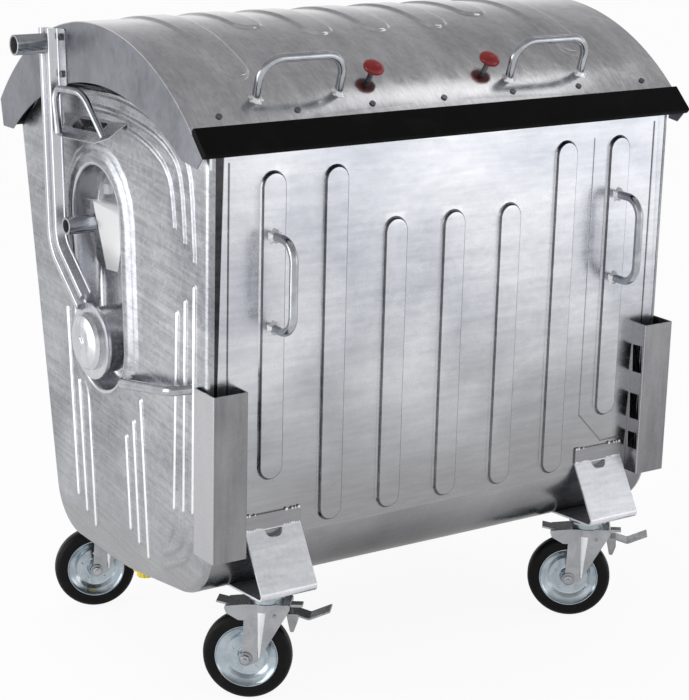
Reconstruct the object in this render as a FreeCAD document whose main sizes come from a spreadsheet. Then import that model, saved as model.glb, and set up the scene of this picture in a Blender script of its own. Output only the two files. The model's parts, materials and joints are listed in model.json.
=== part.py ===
import FreeCAD, Part
import math
import os
import re
import Sketcher

# Four wheel steel waste container with a domed lid that swings back over the rear wall.
# Millimetres. X is the width, the ribbed front faces minus Y, Z is up.
# Every piece is drawn with the lid axis at y 0 and then moved by axis_y.

doc = FreeCAD.newDocument("container")
sheet = doc.addObject("Spreadsheet::Sheet", "dims")

sizes = [
    ("axis_y", 75.5),
    ("half_width", 620.0),
    ("skin", 2.0),
    ("base_z", 228.0),
    ("pan_top", 376.0),
    ("front_foot", 445.0),
    ("front_lean", 3.55),
    ("front_rise", 26.0),
    ("front_round", 135.0),
    ("rim_z", 1225.0),
    ("belly_y", 60.0),
    ("belly_round", 900.0),
    ("rear_foot", 262.0),
    ("rear_lean", 7.5),
    ("rear_rise", 24.0),
    ("rear_round", 125.0),
    ("rear_rim_z", 1212.0),
    ("arch_z", 1332.0),
    ("arch_front", 310.0),
    ("arch_rear", 235.0),
    ("arch_front_round", 330.0),
    ("arch_rear_round", 240.0),
    ("rib_pitch", 156.0),
    ("rib_half", 30.0),
    ("rib_depth", 9.0),
    ("rib_top_high", 1181.0),
    ("rib_top_low", 1054.0),
    ("rib_foot_low", 392.0),
    ("rib_foot_high", 512.0),
    ("rear_rib_top", 1120.0),
    ("rear_rib_lift", 20.0),
    ("rear_rib_pitch", 240.0),
    ("bead_half", 7.0),
    ("bead_height", 4.0),
    ("rim_tube", 30.0),
    ("rim_wall", 2.5),
    ("hub_z", 756.0),
    ("recess_y", 5.0),
    ("recess_round", 112.0),
    ("recess_top_z", 1040.0),
    ("recess_depth", 55.0),
    ("trunnion_y", 34.0),
    ("trunnion_z", 1018.0),
    ("trunnion_round", 20.0),
    ("trunnion_wall", 5.0),
    ("trunnion_long", 68.0),
    ("bracket_sink", 3.0),
    ("bracket_skin", 4.0),
    ("pin_round", 16.0),
    ("pin_flange", 58.0),
    ("pin_flange_thick", 8.0),
    ("pin_fit", 0.05),
    ("pin_short", 13.0),
    ("drum_round", 76.0),
    ("drum_gap", 3.0),
    ("cap_flange", 86.0),
    ("cap_flange_thick", 8.0),
    ("cap_round", 66.0),
    ("cap_bulge", 28.0),
    ("cap_edge_round", 20.0),
    ("cap_neck", 10.0),
    ("cap_button_tall", 4.0),
    ("cap_button", 14.0),
    ("cap_wall", 5.0),
    ("lid_gap", 29.0),
    ("lid_skin", 2.0),
    ("dome_round", 626.0),
    ("dome_y", 27.0),
    ("dome_z", 847.0),
    ("dome_front", 488.0),
    ("dome_rear", 437.0),
    ("end_skin", 3.0),
    ("end_cut_round", 690.0),
    ("end_cut_y", 40.0),
    ("end_cut_z", 650.0),
    ("end_front", 486.0),
    ("end_front_low", 440.0),
    ("end_rear", 434.0),
    ("end_rear_low", 372.0),
    ("end_nose", 40.0),
    ("end_nose_drop", 47.0),
    ("end_chin", 17.0),
    ("end_chin_drop", 70.0),
    ("lip_drop", 58.0),
    ("lip_lean", 10.0),
    ("strip_angle", 47.4),
    ("strip_long", 66.0),
    ("strip_lap", 5.0),
    ("strip_thick", 16.0),
    ("arm_y", 137.0),
    ("arm_short", 21.0),
    ("arm_bend_z", 960.0),
    ("arm_bend_round", 85.0),
    ("arm_foot_y", 6.0),
    ("arm_foot_z", 838.0),
    ("arm_half", 36.0),
    ("arm_plate", 3.0),
    ("arm_ridge", 20.0),
    ("eye_round", 88.0),
    ("flange_wide", 32.0),
    ("bolt_round", 8.0),
    ("bolt_head", 6.0),
    ("stub_round", 23.0),
    ("stub_wall", 4.0),
    ("stub_long", 73.0),
    ("stub_drop", 34.0),
    ("bar_round", 9.5),
    ("lid_handle_left_x", 360.0),
    ("lid_handle_right_x", 305.0),
    ("lid_handle_half", 103.0),
    ("lid_handle_tall", 88.0),
    ("lid_handle_bend", 36.0),
    ("lid_handle_angle", 40.3),
    ("lid_handle_lean", 20.0),
    ("knob_x", 157.0),
    ("knob_angle", 36.9),
    ("knob_round", 24.0),
    ("knob_stem", 6.0),
    ("knob_lift", 22.0),
    ("knob_fit", 0.4),
    ("rivet_round", 7.0),
    ("rivet_head", 3.0),
    ("rivet_inset", 79.0),
    ("rivet_angle", 44.0),
    ("front_handle_z", 947.0),
    ("front_handle_half", 99.0),
    ("front_handle_out", 76.0),
    ("front_handle_bend", 34.0),
    ("shelf_z", 1222.0),
    ("shelf_thick", 4.0),
    ("side_bar_round", 8.0),
    ("side_handle_gap", 43.0),
    ("side_handle_front", 97.0),
    ("side_handle_rear", 74.0),
    ("side_handle_tall", 80.0),
    ("side_handle_bend", 34.0),
    ("grab_round", 11.0),
    ("grab_front", 408.0),
    ("grab_rear", 134.0),
    ("grab_z", 672.0),
    ("grab_tilt", 6.7),
    ("grab_gap", 40.0),
    ("grab_bend", 24.0),
    ("channel_wide", 84.0),
    ("channel_proud", 12.0),
    ("channel_deep", 45.0),
    ("channel_skin", 3.0),
    ("channel_low", 360.0),
    ("channel_high", 730.0),
    ("channel_side", 40.0),
    ("swivel_inset", 162.0),
    ("swivel_front", 428.0),
    ("swivel_rear", 312.0),
    ("mount_z", 259.0),
    ("window_low_z", 418.0),
    ("window_low_tall", 40.0),
    ("window_mid_z", 492.0),
    ("window_mid_tall", 62.0),
    ("window_top_z", 608.0),
    ("window_top_tall", 66.0),
    ("leg_skin", 5.0),
    ("leg_half", 71.0),
    ("leg_reach", 96.0),
    ("leg_knee_z", 398.0),
    ("leg_head_z", 436.0),
    ("notch_half", 21.0),
    ("notch_deep", 16.0),
    ("notch_round", 15.0),
    ("plate_thick", 6.0),
    ("plate_half_x", 50.0),
    ("plate_half_y", 42.0),
    ("race_round", 37.0),
    ("race_thick", 27.0),
    ("dust_round", 45.0),
    ("dust_thick", 5.0),
    ("dust_lift", 12.0),
    ("king_round", 10.0),
    ("king_fit", 0.05),
    ("king_short", 6.0),
    ("turn_gap", 0.4),
    ("wheel_round", 100.0),
    ("wheel_half", 23.0),
    ("rim_round", 67.0),
    ("trail", 45.0),
    ("fork_inner", 31.0),
    ("tyre_lip", 2.0),
    ("tyre_corner", 13.0),
    ("fork_skin", 4.0),
    ("fork_back", 55.0),
    ("fork_brow", 11.0),
    ("fork_heel", 27.0),
    ("fork_heel_drop", 6.0),
    ("fork_toe", 10.0),
    ("fork_toe_drop", 14.0),
    ("fork_lean", 2.0),
    ("fork_bend", 8.0),
    ("hood_low", 189.0),
    ("hood_mid", 205.0),
    ("hood_long", 46.0),
    ("hood_drop", 5.0),
    ("tab_long", 109.0),
    ("tab_rise", 7.0),
    ("tab_half", 22.0),
    ("tab_thick", 4.0),
    ("stop_long", 80.0),
    ("stop_half", 12.0),
    ("stop_thick", 6.0),
    ("crown_low", 208.0),
    ("axle_round", 8.0),
    ("axle_fit", 0.05),
    ("turn_front_left", 50.0),
    ("turn_front_right", 50.0),
    ("turn_rear_left", 70.0),
    ("turn_rear_right", 60.0),
    ("pedal_y", 21.0),
    ("pedal_z", 200.0),
    ("pedal_rod", 4.0),
    ("pedal_reach", 141.0),
    ("pedal_neck", 95.0),
    ("pedal_dip", 7.0),
    ("pedal_rise", 12.0),
    ("pedal_half", 24.0),
    ("pedal_thick", 4.0),
    ("shoe_near", 44.0),
    ("shoe_far", 68.0),
    ("shoe_deep", 43.0),
    ("shoe_half", 14.0),
    ("plug_inset", 84.0),
    ("plug_y", 12.0),
    ("plug_round", 30.0),
    ("plug_low", 178.0),
]
# Sizes that follow from others.
derived = {
    "lid_half": "(half_width + lid_gap)",
    "rear_rib_foot": "(leg_head_z + rear_rib_lift)",
    "rivet_pitch": "((lid_half - rivet_inset) / 3)",
    "arm_top": "(dome_z + dome_round - arm_short)",
    "bracket_face": "(half_width - bracket_sink)",
    "trunnion_end": "(bracket_face + trunnion_long)",
    "pin_end": "(lid_half - pin_short)",
    "cap_face": "(lid_half + cap_bulge)",
    "arm_face": "(lid_half + arm_ridge + arm_plate)",
    "stub_end": "(arm_face + stub_long)",
    "stub_z": "(arm_top - stub_drop)",
    "front_handle_x": "(3 * rib_pitch)",
    "side_handle_x": "(half_width + side_handle_gap)",
    "grab_out": "(half_width + grab_gap)",
    "channel_outer": "(half_width + channel_proud)",
    "channel_inner": "(channel_outer - channel_wide)",
    "swivel_x": "(half_width - swivel_inset)",
    "plug_x": "(half_width - plug_inset)",
    "recess_floor": "(half_width - recess_depth + skin)",
    "race_low": "(mount_z - plate_thick - race_thick)",
    "fork_top": "(race_low - turn_gap)",
}
names = set()
for row, (name, number_value) in enumerate(sizes, start=1):
    sheet.set("A%d" % row, name)
    sheet.set("B%d" % row, str(number_value))
    sheet.setAlias("B%d" % row, name)
    names.add(name)
doc.recompute()
probe = doc.addObject("Part::Box", "probe")


def full(text):
    """Write out derived sizes and put the sheet name before every driving size."""
    def word(match):
        found = match.group(0)
        if found in derived:
            return full(derived[found])
        return "dims." + found if found in names else found
    return re.sub(r"[a-z_]+", word, text)


def number(text):
    found = probe.evalExpression(full(text))
    return float(getattr(found, "Value", found))


def bind(item, field, text):
    item.setExpression(field, full(text))


def drive(sketch, kind, *rest):
    """Add a size constraint; the last argument is its expression."""
    text = rest[-1]
    place = sketch.addConstraint(Sketcher.Constraint(kind, *rest[:-1], number(text)))
    sketch.setExpression("Constraints[%d]" % place, full(text))


def pin_point(sketch, line, end, x, y):
    drive(sketch, "DistanceX", line, end, x)
    drive(sketch, "DistanceY", line, end, y)


def new_body(label):
    body = doc.addObject("PartDesign::Body", label)
    body.Label = label
    return body


def new_sketch(body, plane, offset="0"):
    sketch = body.newObject("Sketcher::SketchObject", body.Name + "_sketch")
    face = [f for f in body.Origin.OriginFeatures if f.Role == plane + "_Plane"][0]
    sketch.AttachmentSupport = [(face, "")]
    sketch.MapMode = "FlatFace"
    sketch.AttachmentOffset = FreeCAD.Placement(FreeCAD.Vector(0, 0, number(offset)), FreeCAD.Rotation())
    bind(sketch, "AttachmentOffset.Base.z", offset)
    return sketch


def vector(point):
    return FreeCAD.Vector(point[0], point[1], 0)


def corner(before, here, after, radius):
    """Touch points and centre of a rounded corner, and whether it turns left."""
    u = (vector(before) - vector(here)).normalize()
    v = (vector(after) - vector(here)).normalize()
    half = math.acos(max(-1.0, min(1.0, u.dot(v)))) / 2
    reach = radius / math.tan(half)
    centre = vector(here) + (u + v).normalize() * (radius / math.sin(half))
    left = (v.x * u.y - v.y * u.x) > 0
    return vector(here) + u * reach, vector(here) + v * reach, centre, left


def arc(sketch, start, end, centre, left):
    """Arc between two points; returns its number and which ends are start and end."""
    a, b = (start, end) if left else (end, start)
    first = math.atan2(a.y - centre.y, a.x - centre.x)
    last = math.atan2(b.y - centre.y, b.x - centre.x)
    circle = Part.Circle(centre, FreeCAD.Vector(0, 0, 1), (a - centre).Length)
    place = sketch.addGeometry(Part.ArcOfCircle(circle, first, last))
    return (place, 1, 2) if left else (place, 2, 1)


def path(sketch, corners, closed=True):
    """Lines through points (x, y) or rounded points (x, y, radius), all as expressions."""
    points = [(number(c[0]), number(c[1])) for c in corners]
    total = len(points)
    turns = {}
    for i, c in enumerate(corners):
        if len(c) > 2:
            turns[i] = corner(points[i - 1], points[i], points[(i + 1) % total], number(c[2]))
    lines = []
    for i in range(total if closed else total - 1):
        j = (i + 1) % total
        start = turns[i][1] if i in turns else vector(points[i])
        end = turns[j][0] if j in turns else vector(points[j])
        lines.append(sketch.addGeometry(Part.LineSegment(start, end)))
    arcs = {}
    for i, c in enumerate(corners):
        last = lines[i - 1]
        here = lines[i] if i < len(lines) else None
        if i in turns:
            start, end, centre, left = turns[i]
            bend, first, second = arc(sketch, start, end, centre, left)
            arcs[i] = bend
            sketch.addConstraint(Sketcher.Constraint("Tangent", last, 2, bend, first))
            sketch.addConstraint(Sketcher.Constraint("Tangent", bend, second, here, 1))
            drive(sketch, "Radius", bend, c[2])
            dot = sketch.addGeometry(Part.Point(vector(points[i])), True)
            sketch.addConstraint(Sketcher.Constraint("PointOnObject", dot, 1, last))
            sketch.addConstraint(Sketcher.Constraint("PointOnObject", dot, 1, here))
            pin_point(sketch, dot, 1, c[0], c[1])
        elif closed or 0 < i < total - 1:
            sketch.addConstraint(Sketcher.Constraint("Coincident", last, 2, here, 1))
            pin_point(sketch, here, 1, c[0], c[1])
        elif i == 0:
            pin_point(sketch, here, 1, c[0], c[1])
        else:
            pin_point(sketch, last, 2, c[0], c[1])
    return lines, arcs


def ring(sketch, x, y, radius):
    circle = Part.Circle(FreeCAD.Vector(number(x), number(y), 0), FreeCAD.Vector(0, 0, 1), number(radius))
    place = sketch.addGeometry(circle)
    pin_point(sketch, place, 3, x, y)
    drive(sketch, "Radius", place, radius)


def slot(sketch, x_one, y_one, x_two, y_two, radius):
    """Obround between two centres."""
    one = FreeCAD.Vector(number(x_one), number(y_one), 0)
    two = FreeCAD.Vector(number(x_two), number(y_two), 0)
    r = number(radius)
    along = (two - one).normalize()
    side = FreeCAD.Vector(-along.y, along.x, 0) * r
    right = sketch.addGeometry(Part.LineSegment(one - side, two - side))
    top = arc(sketch, two - side, two + side, two, True)[0]
    back = sketch.addGeometry(Part.LineSegment(two + side, one + side))
    foot = arc(sketch, one + side, one - side, one, True)[0]
    turns = (right, top, back, foot)
    for i, first in enumerate(turns):
        sketch.addConstraint(Sketcher.Constraint("Tangent", first, 2, turns[(i + 1) % 4], 1))
    pin_point(sketch, foot, 3, x_one, y_one)
    pin_point(sketch, top, 3, x_two, y_two)
    drive(sketch, "Radius", foot, radius)


def strip(sketch, corners, thick, left):
    """Bent sheet: a rounded line and its parallel on the left or right, closed at both ends."""
    lines, arcs = path(sketch, corners, closed=False)
    points = [vector((number(c[0]), number(c[1]))) for c in corners]
    sign = 1.0 if left else -1.0
    gap = number(thick)
    steps = [(points[i + 1] - points[i]).normalize() for i in range(len(points) - 1)]
    sides = [FreeCAD.Vector(-s.y, s.x, 0) * (sign * gap) for s in steps]
    moved = [points[0] + sides[0]]
    for i in range(1, len(points) - 1):
        a, b = sides[i - 1], sides[i]
        moved.append(points[i] + (a + b) * (gap * gap / (gap * gap + a.dot(b))))
    moved.append(points[-1] + sides[-1])
    turns = {}
    for i, c in enumerate(corners):
        if len(c) > 2:
            here = corner((points[i - 1].x, points[i - 1].y), (points[i].x, points[i].y),
                          (points[i + 1].x, points[i + 1].y), number(c[2]))
            radius = number(c[2]) - gap if here[3] == left else number(c[2]) + gap
            turns[i] = corner((moved[i - 1].x, moved[i - 1].y), (moved[i].x, moved[i].y),
                              (moved[i + 1].x, moved[i + 1].y), radius)
    inner = []
    for i in range(len(points) - 1):
        start = turns[i][1] if i in turns else moved[i]
        end = turns[i + 1][0] if i + 1 in turns else moved[i + 1]
        inner.append(sketch.addGeometry(Part.LineSegment(start, end)))
    for outer, parallel in zip(lines, inner):
        sketch.addConstraint(Sketcher.Constraint("Parallel", outer, parallel))
    for i in range(1, len(points) - 1):
        if i in turns:
            start, end, centre, turn = turns[i]
            bend, first, second = arc(sketch, start, end, centre, turn)
            sketch.addConstraint(Sketcher.Constraint("Tangent", inner[i - 1], 2, bend, first))
            sketch.addConstraint(Sketcher.Constraint("Tangent", bend, second, inner[i], 1))
            sketch.addConstraint(Sketcher.Constraint("Coincident", bend, 3, arcs[i], 3))
        else:
            sketch.addConstraint(Sketcher.Constraint("Coincident", inner[i - 1], 2, inner[i], 1))
            drive(sketch, "Distance", inner[i], 1, lines[i], thick)
    for outer, near, far in ((lines[0], 1, inner[0]), (lines[-1], 2, inner[-1])):
        a, b = (points[0], moved[0]) if near == 1 else (points[-1], moved[-1])
        cap = sketch.addGeometry(Part.LineSegment(a, b))
        sketch.addConstraint(Sketcher.Constraint("Coincident", cap, 1, outer, near))
        sketch.addConstraint(Sketcher.Constraint("Coincident", cap, 2, far, near))
        sketch.addConstraint(Sketcher.Constraint("Perpendicular", cap, outer))
        if near == 1:
            drive(sketch, "Distance", cap, thick)


def pad(body, sketch, length, back=False):
    feature = body.newObject("PartDesign::Pad", body.Name + "_pad")
    feature.Profile = sketch
    feature.Reversed = back
    bind(feature, "Length", length)
    sketch.Visibility = False
    return feature


def pocket(body, sketch, length, back=False):
    feature = body.newObject("PartDesign::Pocket", body.Name + "_pocket")
    feature.Profile = sketch
    feature.Reversed = back
    bind(feature, "Length", length)
    sketch.Visibility = False
    return feature


def pipe(body, profile, spine):
    feature = body.newObject("PartDesign::AdditivePipe", body.Name + "_pipe")
    feature.Profile = profile
    feature.Spine = spine
    return feature


def turned(body, sketch):
    """Full turn of a drawn section about the first axis of its sketch."""
    feature = body.newObject("PartDesign::Revolution", body.Name + "_turn")
    feature.Profile = sketch
    feature.ReferenceAxis = (sketch, ["H_Axis"])
    feature.Angle = 360.0
    return feature


def place(item, x="0", y="0", z="0", lean=None, axis=(1, 0, 0)):
    """Move a piece; y is measured from the lid axis."""
    spot = FreeCAD.Vector(number(x), number(y + " + axis_y"), number(z))
    turn = FreeCAD.Rotation(FreeCAD.Vector(*axis), number(lean) if lean else 0.0)
    item.Placement = FreeCAD.Placement(spot, turn)
    bind(item, "Placement.Base.x", x)
    bind(item, "Placement.Base.y", y + " + axis_y")
    bind(item, "Placement.Base.z", z)
    if lean:
        bind(item, "Placement.Rotation.Angle", lean)
    return item


def cylinder(label, radius, height, x, y, z, axis=None):
    """Cylinder from a start point along Z, or along plus or minus X."""
    item = doc.addObject("Part::Cylinder", label)
    bind(item, "Radius", radius)
    bind(item, "Height", height)
    turn = FreeCAD.Rotation(FreeCAD.Vector(0, 1, 0), axis) if axis else FreeCAD.Rotation()
    item.Placement = FreeCAD.Placement(FreeCAD.Vector(number(x), number(y), number(z)), turn)
    bind(item, "Placement.Base.x", x)
    bind(item, "Placement.Base.y", y)
    bind(item, "Placement.Base.z", z)
    return item


def box(label, x, y, z, wide, deep, tall):
    item = doc.addObject("Part::Box", label)
    for field, text in (("Length", wide), ("Width", deep), ("Height", tall)):
        bind(item, field, text)
    item.Placement = FreeCAD.Placement(FreeCAD.Vector(number(x), number(y), number(z)), FreeCAD.Rotation())
    bind(item, "Placement.Base.x", x)
    bind(item, "Placement.Base.y", y)
    bind(item, "Placement.Base.z", z)
    return item


def cut(label, base, tool):
    item = doc.addObject("Part::Cut", label)
    item.Base = base
    item.Tool = tool
    item.Label = label
    return item


def join(label, shapes):
    item = doc.addObject("Part::MultiFuse", label)
    item.Shapes = shapes
    item.Label = label
    return item


def group(label, shapes):
    item = doc.addObject("Part::Compound", label)
    item.Links = shapes
    item.Label = label
    return item


pieces = []


def keep(item, label=None):
    if label:
        item.Label = label
    pieces.append(item)
    return item


def both_sides(item, stem):
    """Keep a piece drawn on the left and its mirror image on the right."""
    keep(item, stem + "_left")
    twin = doc.addObject("Part::Mirroring", stem + "_right")
    twin.Source = item
    twin.Normal = FreeCAD.Vector(1, 0, 0)
    keep(twin, stem + "_right")


# Lines of the tub section, front and rear, as places along Y at a height.
def front_at(height):
    return "-front_foot - (%s - base_z) * tan(front_lean)" % height


def rear_at(height):
    return "rear_foot + (%s - base_z) * tan(rear_lean)" % height


low_line = [
    (front_at("(base_z + front_rise)"), "base_z + front_rise", "front_round"),
    ("-belly_y", "base_z", "belly_round"),
    (rear_at("(base_z + rear_rise)"), "base_z + rear_rise", "rear_round"),
]
tub_line = [(front_at("rim_z"), "rim_z")] + low_line + [
    (rear_at("rear_rim_z"), "rear_rim_z"),
    ("arch_rear", "arch_z", "arch_rear_round"),
    ("-arch_front", "arch_z", "arch_front_round"),
]

# Solid block of the tub, used only to trim pieces against it.
tub_block = new_body("tub_block")
sketch = new_sketch(tub_block, "YZ", "-half_width")
path(sketch, tub_line)
pad(tub_block, sketch, "2 * half_width")
place(tub_block)

# Floor pan between the side panels.
pan = new_body("floor_pan")
sketch = new_sketch(pan, "YZ", "-(half_width - skin)")
pan_line = [(front_at("pan_top"), "pan_top")] + low_line + [(rear_at("pan_top"), "pan_top")]
strip(sketch, pan_line, "skin", True)
pad(pan, sketch, "2 * (half_width - skin)")
keep(place(pan))


# Flat wall in a leaning frame whose first plane is its outer face.
def wall(label, tall, lean, inward, ribs):
    body = new_body(label)
    sketch = new_sketch(body, "XZ")
    path(sketch, [("-(half_width - skin)", "0"), ("half_width - skin", "0"),
                  ("half_width - skin", tall), ("-(half_width - skin)", tall)])
    pad(body, sketch, "skin", inward)
    sketch = new_sketch(body, "XZ")
    for x, low, high in ribs:
        slot(sketch, x, "%s + rib_half" % low, x, "%s - rib_half" % high, "rib_half")
    pad(body, sketch, "rib_depth", not inward)
    sketch = new_sketch(body, "XZ", "-skin" if inward else "skin")
    for x, low, high in ribs:
        slot(sketch, x, "%s + rib_half" % low, x, "%s - rib_half" % high, "rib_half - skin")
    pocket(body, sketch, "rib_depth", inward)
    return body


front_tall = "(rim_z - pan_top) / cos(front_lean)"
rear_tall = "(rear_rim_z - pan_top) / cos(rear_lean)"
front_ribs = []
for step in range(-3, 4):
    high = "rib_top_low" if abs(step) < 2 else "rib_top_high"
    low = "rib_foot_high" if abs(step) == 3 else "rib_foot_low"
    front_ribs.append(("%d * rib_pitch" % step, "(%s - pan_top)" % low, "(%s - pan_top)" % high))
rear_ribs = []
for step in range(-2, 3):
    rear_ribs.append(("%d * rear_rib_pitch" % step, "(rear_rib_foot - pan_top)", "(rear_rib_top - pan_top)"))

front = wall("front_wall", front_tall, "front_lean", True, front_ribs)
keep(place(front, "0", front_at("pan_top"), "pan_top", "front_lean"))
rear = wall("rear_wall", rear_tall, "rear_lean", False, rear_ribs)
keep(place(rear, "0", rear_at("pan_top"), "pan_top", "rear_lean", (-1, 0, 0)))

# Square tube behind the top of the front wall.
rim = new_body("front_rim")
sketch = new_sketch(rim, "YZ", "-(half_width - skin)")
path(sketch, [("skin", front_tall + " - rim_tube"), ("skin + rim_tube", front_tall + " - rim_tube"),
              ("skin + rim_tube", front_tall), ("skin", front_tall)])
path(sketch, [("skin + rim_wall", front_tall + " - rim_tube + rim_wall"),
              ("skin + rim_tube - rim_wall", front_tall + " - rim_tube + rim_wall"),
              ("skin + rim_tube - rim_wall", front_tall + " - rim_wall"),
              ("skin + rim_wall", front_tall + " - rim_wall")])
pad(rim, sketch, "2 * (half_width - skin)")
keep(place(rim, "0", front_at("pan_top"), "pan_top", "front_lean"))

# Side panel with the opening for the recess and raised beads.
side = new_body("side_panel")
sketch = new_sketch(side, "YZ", "-half_width")
path(sketch, tub_line)
slot(sketch, "-recess_y", "hub_z", "-recess_y", "recess_top_z", "recess_round")
pad(side, sketch, "skin")
sketch = new_sketch(side, "YZ", "-half_width")
beads = [
    (-342, 1178, -353, 1055), (-385, 1190, -395, 1030), (-426, 1200, -435, 995),
    (-354, 874, -322, 372), (-391, 904, -362, 362), (-431, 940, -401, 372),
    (171, 800, 152, 356), (125, 634, 109, 326), (79, 640, 66, 300),
    (-102, 548, -111, 338), (-140, 590, -150, 316), (-177, 646, -192, 292),
]
for bead in beads:
    ends = []
    for y, z in (bead[:2], bead[2:]):
        ends += ["%.4f * front_foot" % (y / 445.0), "%.4f * rim_z" % (z / 1225.0)]
    slot(sketch, *ends, "bead_half")
pad(side, sketch, "bead_height", True)
both_sides(place(side), "side_panel")

# Deep pan that fills the opening of the side panel.
recess = new_body("recess_pan")
sketch = new_sketch(recess, "YZ", "-half_width")
slot(sketch, "-recess_y", "hub_z", "-recess_y", "recess_top_z", "recess_round")
pad(recess, sketch, "recess_depth")
sketch = new_sketch(recess, "YZ", "-half_width")
slot(sketch, "-recess_y", "hub_z", "-recess_y", "recess_top_z", "recess_round - skin")
pocket(recess, sketch, "recess_depth - skin", True)
both_sides(place(recess), "recess_pan")

# Pressed bracket that carries the lifting trunnion.
holder = new_body("trunnion_bracket")
outline = [
    ("trunnion_y + 54", "trunnion_z + 80", "22"), ("trunnion_y - 10", "trunnion_z + 80", "26"),
    ("trunnion_y - 46", "trunnion_z - 92", "16"), ("trunnion_y - 4", "trunnion_z - 115", "22"),
    ("trunnion_y + 54", "trunnion_z - 84", "28"),
]
inside = [
    ("trunnion_y + 54 - bracket_skin", "trunnion_z + 80 - bracket_skin", "18"),
    ("trunnion_y - 10 + bracket_skin * 0.8", "trunnion_z + 80 - bracket_skin", "22"),
    ("trunnion_y - 46 + bracket_skin * 1.2", "trunnion_z - 92 + bracket_skin * 0.8", "12"),
    ("trunnion_y - 4", "trunnion_z - 115 + bracket_skin * 1.2", "18"),
    ("trunnion_y + 54 - bracket_skin", "trunnion_z - 84 + bracket_skin * 0.7", "24"),
]
sketch = new_sketch(holder, "YZ", "-bracket_face")
path(sketch, outline)
pad(holder, sketch, "bracket_face - recess_floor")
sketch = new_sketch(holder, "YZ", "-recess_floor")
path(sketch, inside)
pocket(holder, sketch, "bracket_face - recess_floor - bracket_skin")
both_sides(place(holder), "trunnion_bracket")

tube = new_body("trunnion")
sketch = new_sketch(tube, "YZ", "-trunnion_end")
ring(sketch, "trunnion_y", "trunnion_z", "trunnion_round")
ring(sketch, "trunnion_y", "trunnion_z", "trunnion_round - trunnion_wall")
pad(tube, sketch, "trunnion_end - bracket_face")
both_sides(place(tube), "trunnion")

# Lid pivot: flanged pin on the recess floor, and the hub cap that turns on it.
pivot = new_body("pivot_pin")
sketch = new_sketch(pivot, "YZ", "-recess_floor")
ring(sketch, "0", "hub_z", "pin_flange")
pad(pivot, sketch, "pin_flange_thick", True)
sketch = new_sketch(pivot, "YZ", "-recess_floor")
ring(sketch, "0", "hub_z", "pin_round")
pad(pivot, sketch, "pin_end - recess_floor", True)
both_sides(place(pivot), "pivot_pin")

drum_in = "-(recess_floor + pin_flange_thick + drum_gap)"
cap = new_body("hub_cap")
sketch = new_sketch(cap, "XY")
path(sketch, [
    (drum_in, "pin_round + pin_fit"), (drum_in, "pin_round + cap_neck"),
    ("-(cap_face - cap_wall)", "pin_round + cap_neck"),
    ("-(cap_face - cap_wall)", "cap_round - cap_edge_round + cap_wall"),
    ("-(cap_face - cap_edge_round + cap_wall)", "cap_round - cap_wall"),
    ("-(lid_half - cap_wall)", "cap_round - cap_wall"),
    ("-(lid_half - cap_wall)", "drum_round - cap_wall"), (drum_in, "drum_round - cap_wall"),
    (drum_in, "drum_round"),
    ("-(lid_half - cap_flange_thick)", "drum_round"), ("-(lid_half - cap_flange_thick)", "cap_flange"),
    ("-lid_half", "cap_flange"), ("-lid_half", "cap_round"),
    ("-cap_face", "cap_round", "cap_edge_round"), ("-cap_face", "cap_button"),
    ("-(cap_face + cap_button_tall)", "cap_button"), ("-(cap_face + cap_button_tall)", "0"),
    ("-(pin_end + drum_gap)", "0"), ("-(pin_end + drum_gap)", "pin_round + pin_fit"),
])
turned(cap, sketch)
place(cap, "0", "0", "hub_z")
both_sides(cap, "hub_cap")

# Lid: domed sheet, crescent ends, arms, stubs and front strip.
front_z = "dome_z + sqrt(dome_round ^ 2 - (dome_front - dome_y) ^ 2)"
rear_z = "dome_z + sqrt((dome_round - lid_skin) ^ 2 - (dome_rear + dome_y) ^ 2)"


def curve(sketch, y, z, radius, start, end):
    """Upper arc of a circle between two places along Y, given as numbers for the start."""
    centre = FreeCAD.Vector(number(y), number(z), 0)
    r = number(radius)
    a = math.acos((number(start) - centre.x) / r)
    b = math.acos((number(end) - centre.x) / r)
    item = sketch.addGeometry(Part.ArcOfCircle(Part.Circle(centre, FreeCAD.Vector(0, 0, 1), r), a, b))
    pin_point(sketch, item, 3, y, z)
    drive(sketch, "Radius", item, radius)
    drive(sketch, "DistanceX", item, 1, start)
    drive(sketch, "DistanceX", item, 2, end)
    return item


def close(sketch, one, a, two, b, between=()):
    """Straight lines from one arc end to another, through any points between."""
    stops = [sketch.getPoint(one, a)]
    stops += [vector((number(x), number(y))) for x, y in between]
    stops.append(sketch.getPoint(two, b))
    lines = [sketch.addGeometry(Part.LineSegment(stops[i], stops[i + 1])) for i in range(len(stops) - 1)]
    sketch.addConstraint(Sketcher.Constraint("Coincident", lines[0], 1, one, a))
    sketch.addConstraint(Sketcher.Constraint("Coincident", lines[-1], 2, two, b))
    for i, (x, y) in enumerate(between):
        sketch.addConstraint(Sketcher.Constraint("Coincident", lines[i], 2, lines[i + 1], 1))
        pin_point(sketch, lines[i + 1], 1, x, y)


dome = new_body("dome_sheet")
sketch = new_sketch(dome, "YZ", "-lid_half")
shrink = "(1 - lid_skin / dome_round)"
outer = curve(sketch, "-dome_y", "dome_z", "dome_round", "dome_rear", "-dome_front")
inner = curve(sketch, "-dome_y", "dome_z", "dome_round - lid_skin",
              "-dome_y + (dome_rear + dome_y) * " + shrink, "-dome_y - (dome_front - dome_y) * " + shrink)
close(sketch, outer, 1, inner, 1)
close(sketch, outer, 2, inner, 2)
pad(dome, sketch, "2 * lid_half")
place(dome)


def on_dome(angle, out):
    """Place along Y and Z at an angle forward of the top of the dome."""
    along = "-dome_y - (dome_round + %s) * sin(%s)" % (out, angle)
    up = "dome_z + (dome_round + %s) * cos(%s)" % (out, angle)
    return along, up


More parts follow.
